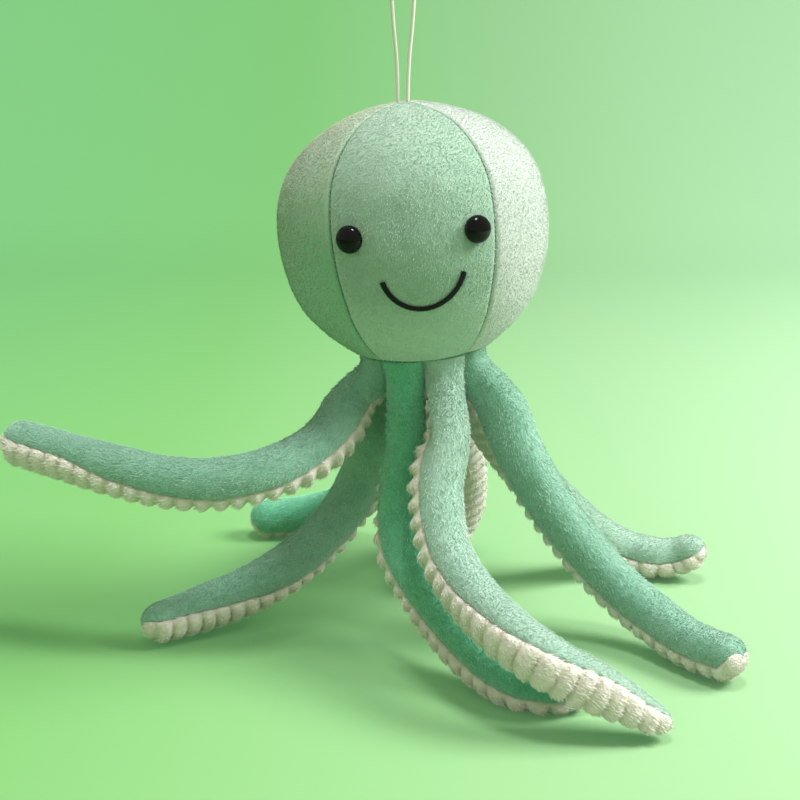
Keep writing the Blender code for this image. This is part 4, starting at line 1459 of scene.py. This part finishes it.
def arm_underside(line, length, slim, place, tip_share, free_from):
    """The white strip before its ribs are raised, with where each point runs along the arm.

    Its ribs are flat at the crowded root and reach their full height at the distance free_from."""
    columns = 22
    outer, inner, runs, lifts, peaks = [], [], [], [], []
    for near, far in zip(arm_rows(length, 0.0009, 0.0), arm_rows(length, 0.0009, ARM_FABRIC)):
        radius = max(arm_radius(length, near, 0.0, slim), 0.0005)
        half = pi - cover_reach(length, near, tip_share)
        at_tip = into_tip(length, near)
        face, back = [], []
        for j in range(columns + 1):
            t = 2 * j / columns - 1
            angle = pi + half * (0.7 * t + 0.3 * sin(pi / 2 * t))
            edge = max(half - abs(angle - pi), 0.0) * radius
            fit = min(1, radius / 0.008)
            roll = rolled_in(edge) * fit
            face.append(place @ arm_point(line, length, slim, near, angle, 0.0, -roll))
            back.append(place @ arm_point(line, length, slim, far, angle, ARM_FABRIC + 0.0004))
            crowded = min(1, max(0.2, near / free_from))
            lifts.append(sqrt(min(edge / 0.003, 1.0)) * (1 - 0.9 * at_tip) * crowded)
            peaks.append(min(1.0, max(0.0, (0.7 - near / length) / 0.35)))
            runs.append(near + ROOT_TOP)
        outer.append(face)
        inner.append(back)
    return outer, inner, {"run": runs, "lift": lifts, "peak": peaks}


def arm_fill(name, line, length, slim, place):
    """The polyester fill inside an arm."""
    rings = []
    for distance in arm_rows(length, 0.004, ARM_FABRIC + 0.0012)[:-1]:
        ring = []
        for j in range(28):
            here = place @ arm_point(line, length, slim, distance, 2 * pi * j / 28, ARM_FABRIC + 0.0012)
            ring.append(here)
        rings.append(ring)
    return closed_loft(name, rings)


for count, (side, shares) in enumerate(ARM_SHARES.items()):
    azimuth = -SECTOR / 2 + SECTOR * count
    hinge = (
        head_place
        @ Matrix.Rotation(azimuth - pi / 2, 4, "Z")
        @ Matrix.Translation((ARM_ROOT_RING, 0, -ROOT_DROP))
    )
    line = arm_line(shares)
    length = ARM_LENGTH * STRETCH_SHARES.get(side, 1.0)
    body = "arm_" + side

    crease = CREASE_DEPTHS.get(side, CREASE_DEPTH)
    tip_share = TIP_COVER_SHARES.get(side, TIP_COVER_SHARE)
    slim = TIP_SLIM_SHARES.get(side, 1.0)
    cover_mesh = arm_cover(body + "_cover", line, length, slim, hinge, crease, tip_share)
    cover = new_object(body + "_cover", cover_mesh)
    grow_pile(cover, ARM_LIGHT_COPIES.get(side, mint_pile), 20 + count, **COVER_PILE)
    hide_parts(body + "_top")

    free_from = RIBS_FREE_FROM.get(side, PRESSED_END)
    outer, inner, marks = arm_underside(line, length, slim, hinge, tip_share, free_from)
    strip_data = fabric_sheet(body + "_ribs", outer, inner)
    strip = new_object(body + "_ribs", strip_data)
    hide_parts(body + "_underside")
    places = {}
    for row_of_points, run_row in zip(outer, range(len(outer))):
        for j, point in enumerate(row_of_points):
            places[tuple(round(c, 6) for c in point)] = run_row * len(row_of_points) + j
    found = [places.get(tuple(round(c, 6) for c in vertex.co)) for vertex in strip_data.vertices]
    for attribute, marked in marks.items():
        values = [0.0 if spot is None else marked[spot] for spot in found]
        strip_data.attributes.new(attribute, "FLOAT", "POINT").data.foreach_set("value", values)
    run_tree(
        strip,
        rib_tree,
        {
            "Rib Pitch": RIB_PITCH,
            "Rib Height": RIB_HEIGHT,
            "Groove Share": GROOVE_SHARE,
            "Unevenness": RIB_UNEVENNESS,
            "Material": white_rib_pile,
        },
    )
    grow_pile(strip, white_rib_pile, 40 + count, **RIB_PILE)

    fill = new_object(body + "_fill", arm_fill(body + "_fill", line, length, slim, hinge), white_fill)
    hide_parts(body + "_stuffing")
    for piece in (cover, strip, fill):
        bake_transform(piece)


# The studio: a pale green sweep of paper under and behind the toy, and soft light from the right.
# The pile under the lowest arms is pressed into the paper.
PRESSED_PILE = 0.0025
floor_height = min(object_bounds()[0].z, cad_low.z) + PRESSED_PILE
paper, paper_tree, paper_shader = new_material(
    "paper_sweep", (0.32, 0.63, 0.28), 0.9, Specular_IOR_Level=0.1
)
paper_shader.inputs["Emission Color"].default_value = (0.29, 0.84, 0.36, 1)
# Across the paper its colour runs from darker on the left to paler on the right: painted light falling from
# the right.
paper_across = add_node(paper_tree, "ShaderNodeMapRange", values={"From Min": -0.9, "From Max": 0.9})
paper_side_light = add_node(paper_tree, "ShaderNodeValToRGB")
paper_side_light.color_ramp.elements[0].color = (0.19, 0.48, 0.20, 1)
paper_side_light.color_ramp.elements[1].color = (0.45, 0.65, 0.46, 1)
for place, tint in ((0.39, (0.18, 0.40, 0.13, 1)), (0.61, (0.28, 0.44, 0.25, 1))):
    paper_side_light.color_ramp.elements.new(place).color = tint
# Seen by the camera, the paper glows more the farther back it lies. This brightens the backdrop and lifts
# the shadows on the floor: painted light.
paper_seen = add_node(paper_tree, "ShaderNodeLightPath")
paper_place = add_node(paper_tree, "ShaderNodeTexCoord")
paper_axes = add_node(paper_tree, "ShaderNodeSeparateXYZ")
paper_far = add_node(
    paper_tree,
    "ShaderNodeMapRange",
    values={"From Min": 0.1, "From Max": 1.5, "To Min": 0.12, "To Max": 0.3},
)
paper_glow = add_node(paper_tree, "ShaderNodeMath", operation="MULTIPLY")
join(paper_tree, paper_place, "Object", paper_axes, "Vector")
join(paper_tree, paper_axes, "X", paper_across, "Value")
join(paper_tree, paper_across, "Result", paper_side_light, "Fac")
join(paper_tree, paper_side_light, "Color", paper_shader, "Base Color")
join(paper_tree, paper_axes, "Y", paper_far, "Value")
join(paper_tree, paper_seen, "Is Camera Ray", paper_glow, 0)
join(paper_tree, paper_far, "Result", paper_glow, 1)
join(paper_tree, paper_glow, "Value", paper_shader, "Emission Strength")
sweep_mesh = bmesh.new()
sweep_line = [(-3.0, 0.0), (1.2, 0.0)]
sweep_line += [(1.2 + 1.2 * sin(pi / 2 * i / 16), 1.2 - 1.2 * cos(pi / 2 * i / 16)) for i in range(1, 17)]
sweep_line += [(2.4, 4.0)]
rows = [[sweep_mesh.verts.new((x, y, floor_height + z)) for x in (-4, 4)] for y, z in sweep_line]
for near, far in zip(rows, rows[1:]):
    sweep_mesh.faces.new((near[0], near[1], far[1], far[0]))
sweep_data = bpy.data.meshes.new("paper_sweep")
sweep_mesh.to_mesh(sweep_data)
sweep_mesh.free()
sweep = new_object("paper_sweep", sweep_data, paper)


def soft_light(name, place, target, size, power, colour):
    """A square soft light that faces a point."""
    data = bpy.data.lights.new(name, "AREA")
    data.shape = "SQUARE"
    data.size = size
    data.energy = power
    data.color = colour
    item = bpy.data.objects.new(name, data)
    item.location = place
    item.rotation_euler = (Vector(target) - Vector(place)).to_track_quat("-Z", "Y").to_euler()
    bpy.context.scene.collection.objects.link(item)
    return item


middle = (0, 0, -0.2)
key_light = soft_light("key_light", (1.2, -0.05, 0.8), middle, 0.7, 38.0, (1.0, 0.98, 0.98))
key_light.visible_glossy = False
soft_light("top_light", (0.15, -0.25, 1.15), middle, 0.28, 11.0, (1.0, 1.0, 1.0))
world = bpy.data.worlds.new("room")
world.use_nodes = True
world.node_tree.nodes["Background"].inputs["Color"].default_value = (0.96, 1.0, 0.8, 1)
world.node_tree.nodes["Background"].inputs["Strength"].default_value = 0.56
bpy.context.scene.world = world
bpy.context.scene.view_settings.view_transform = "Standard"
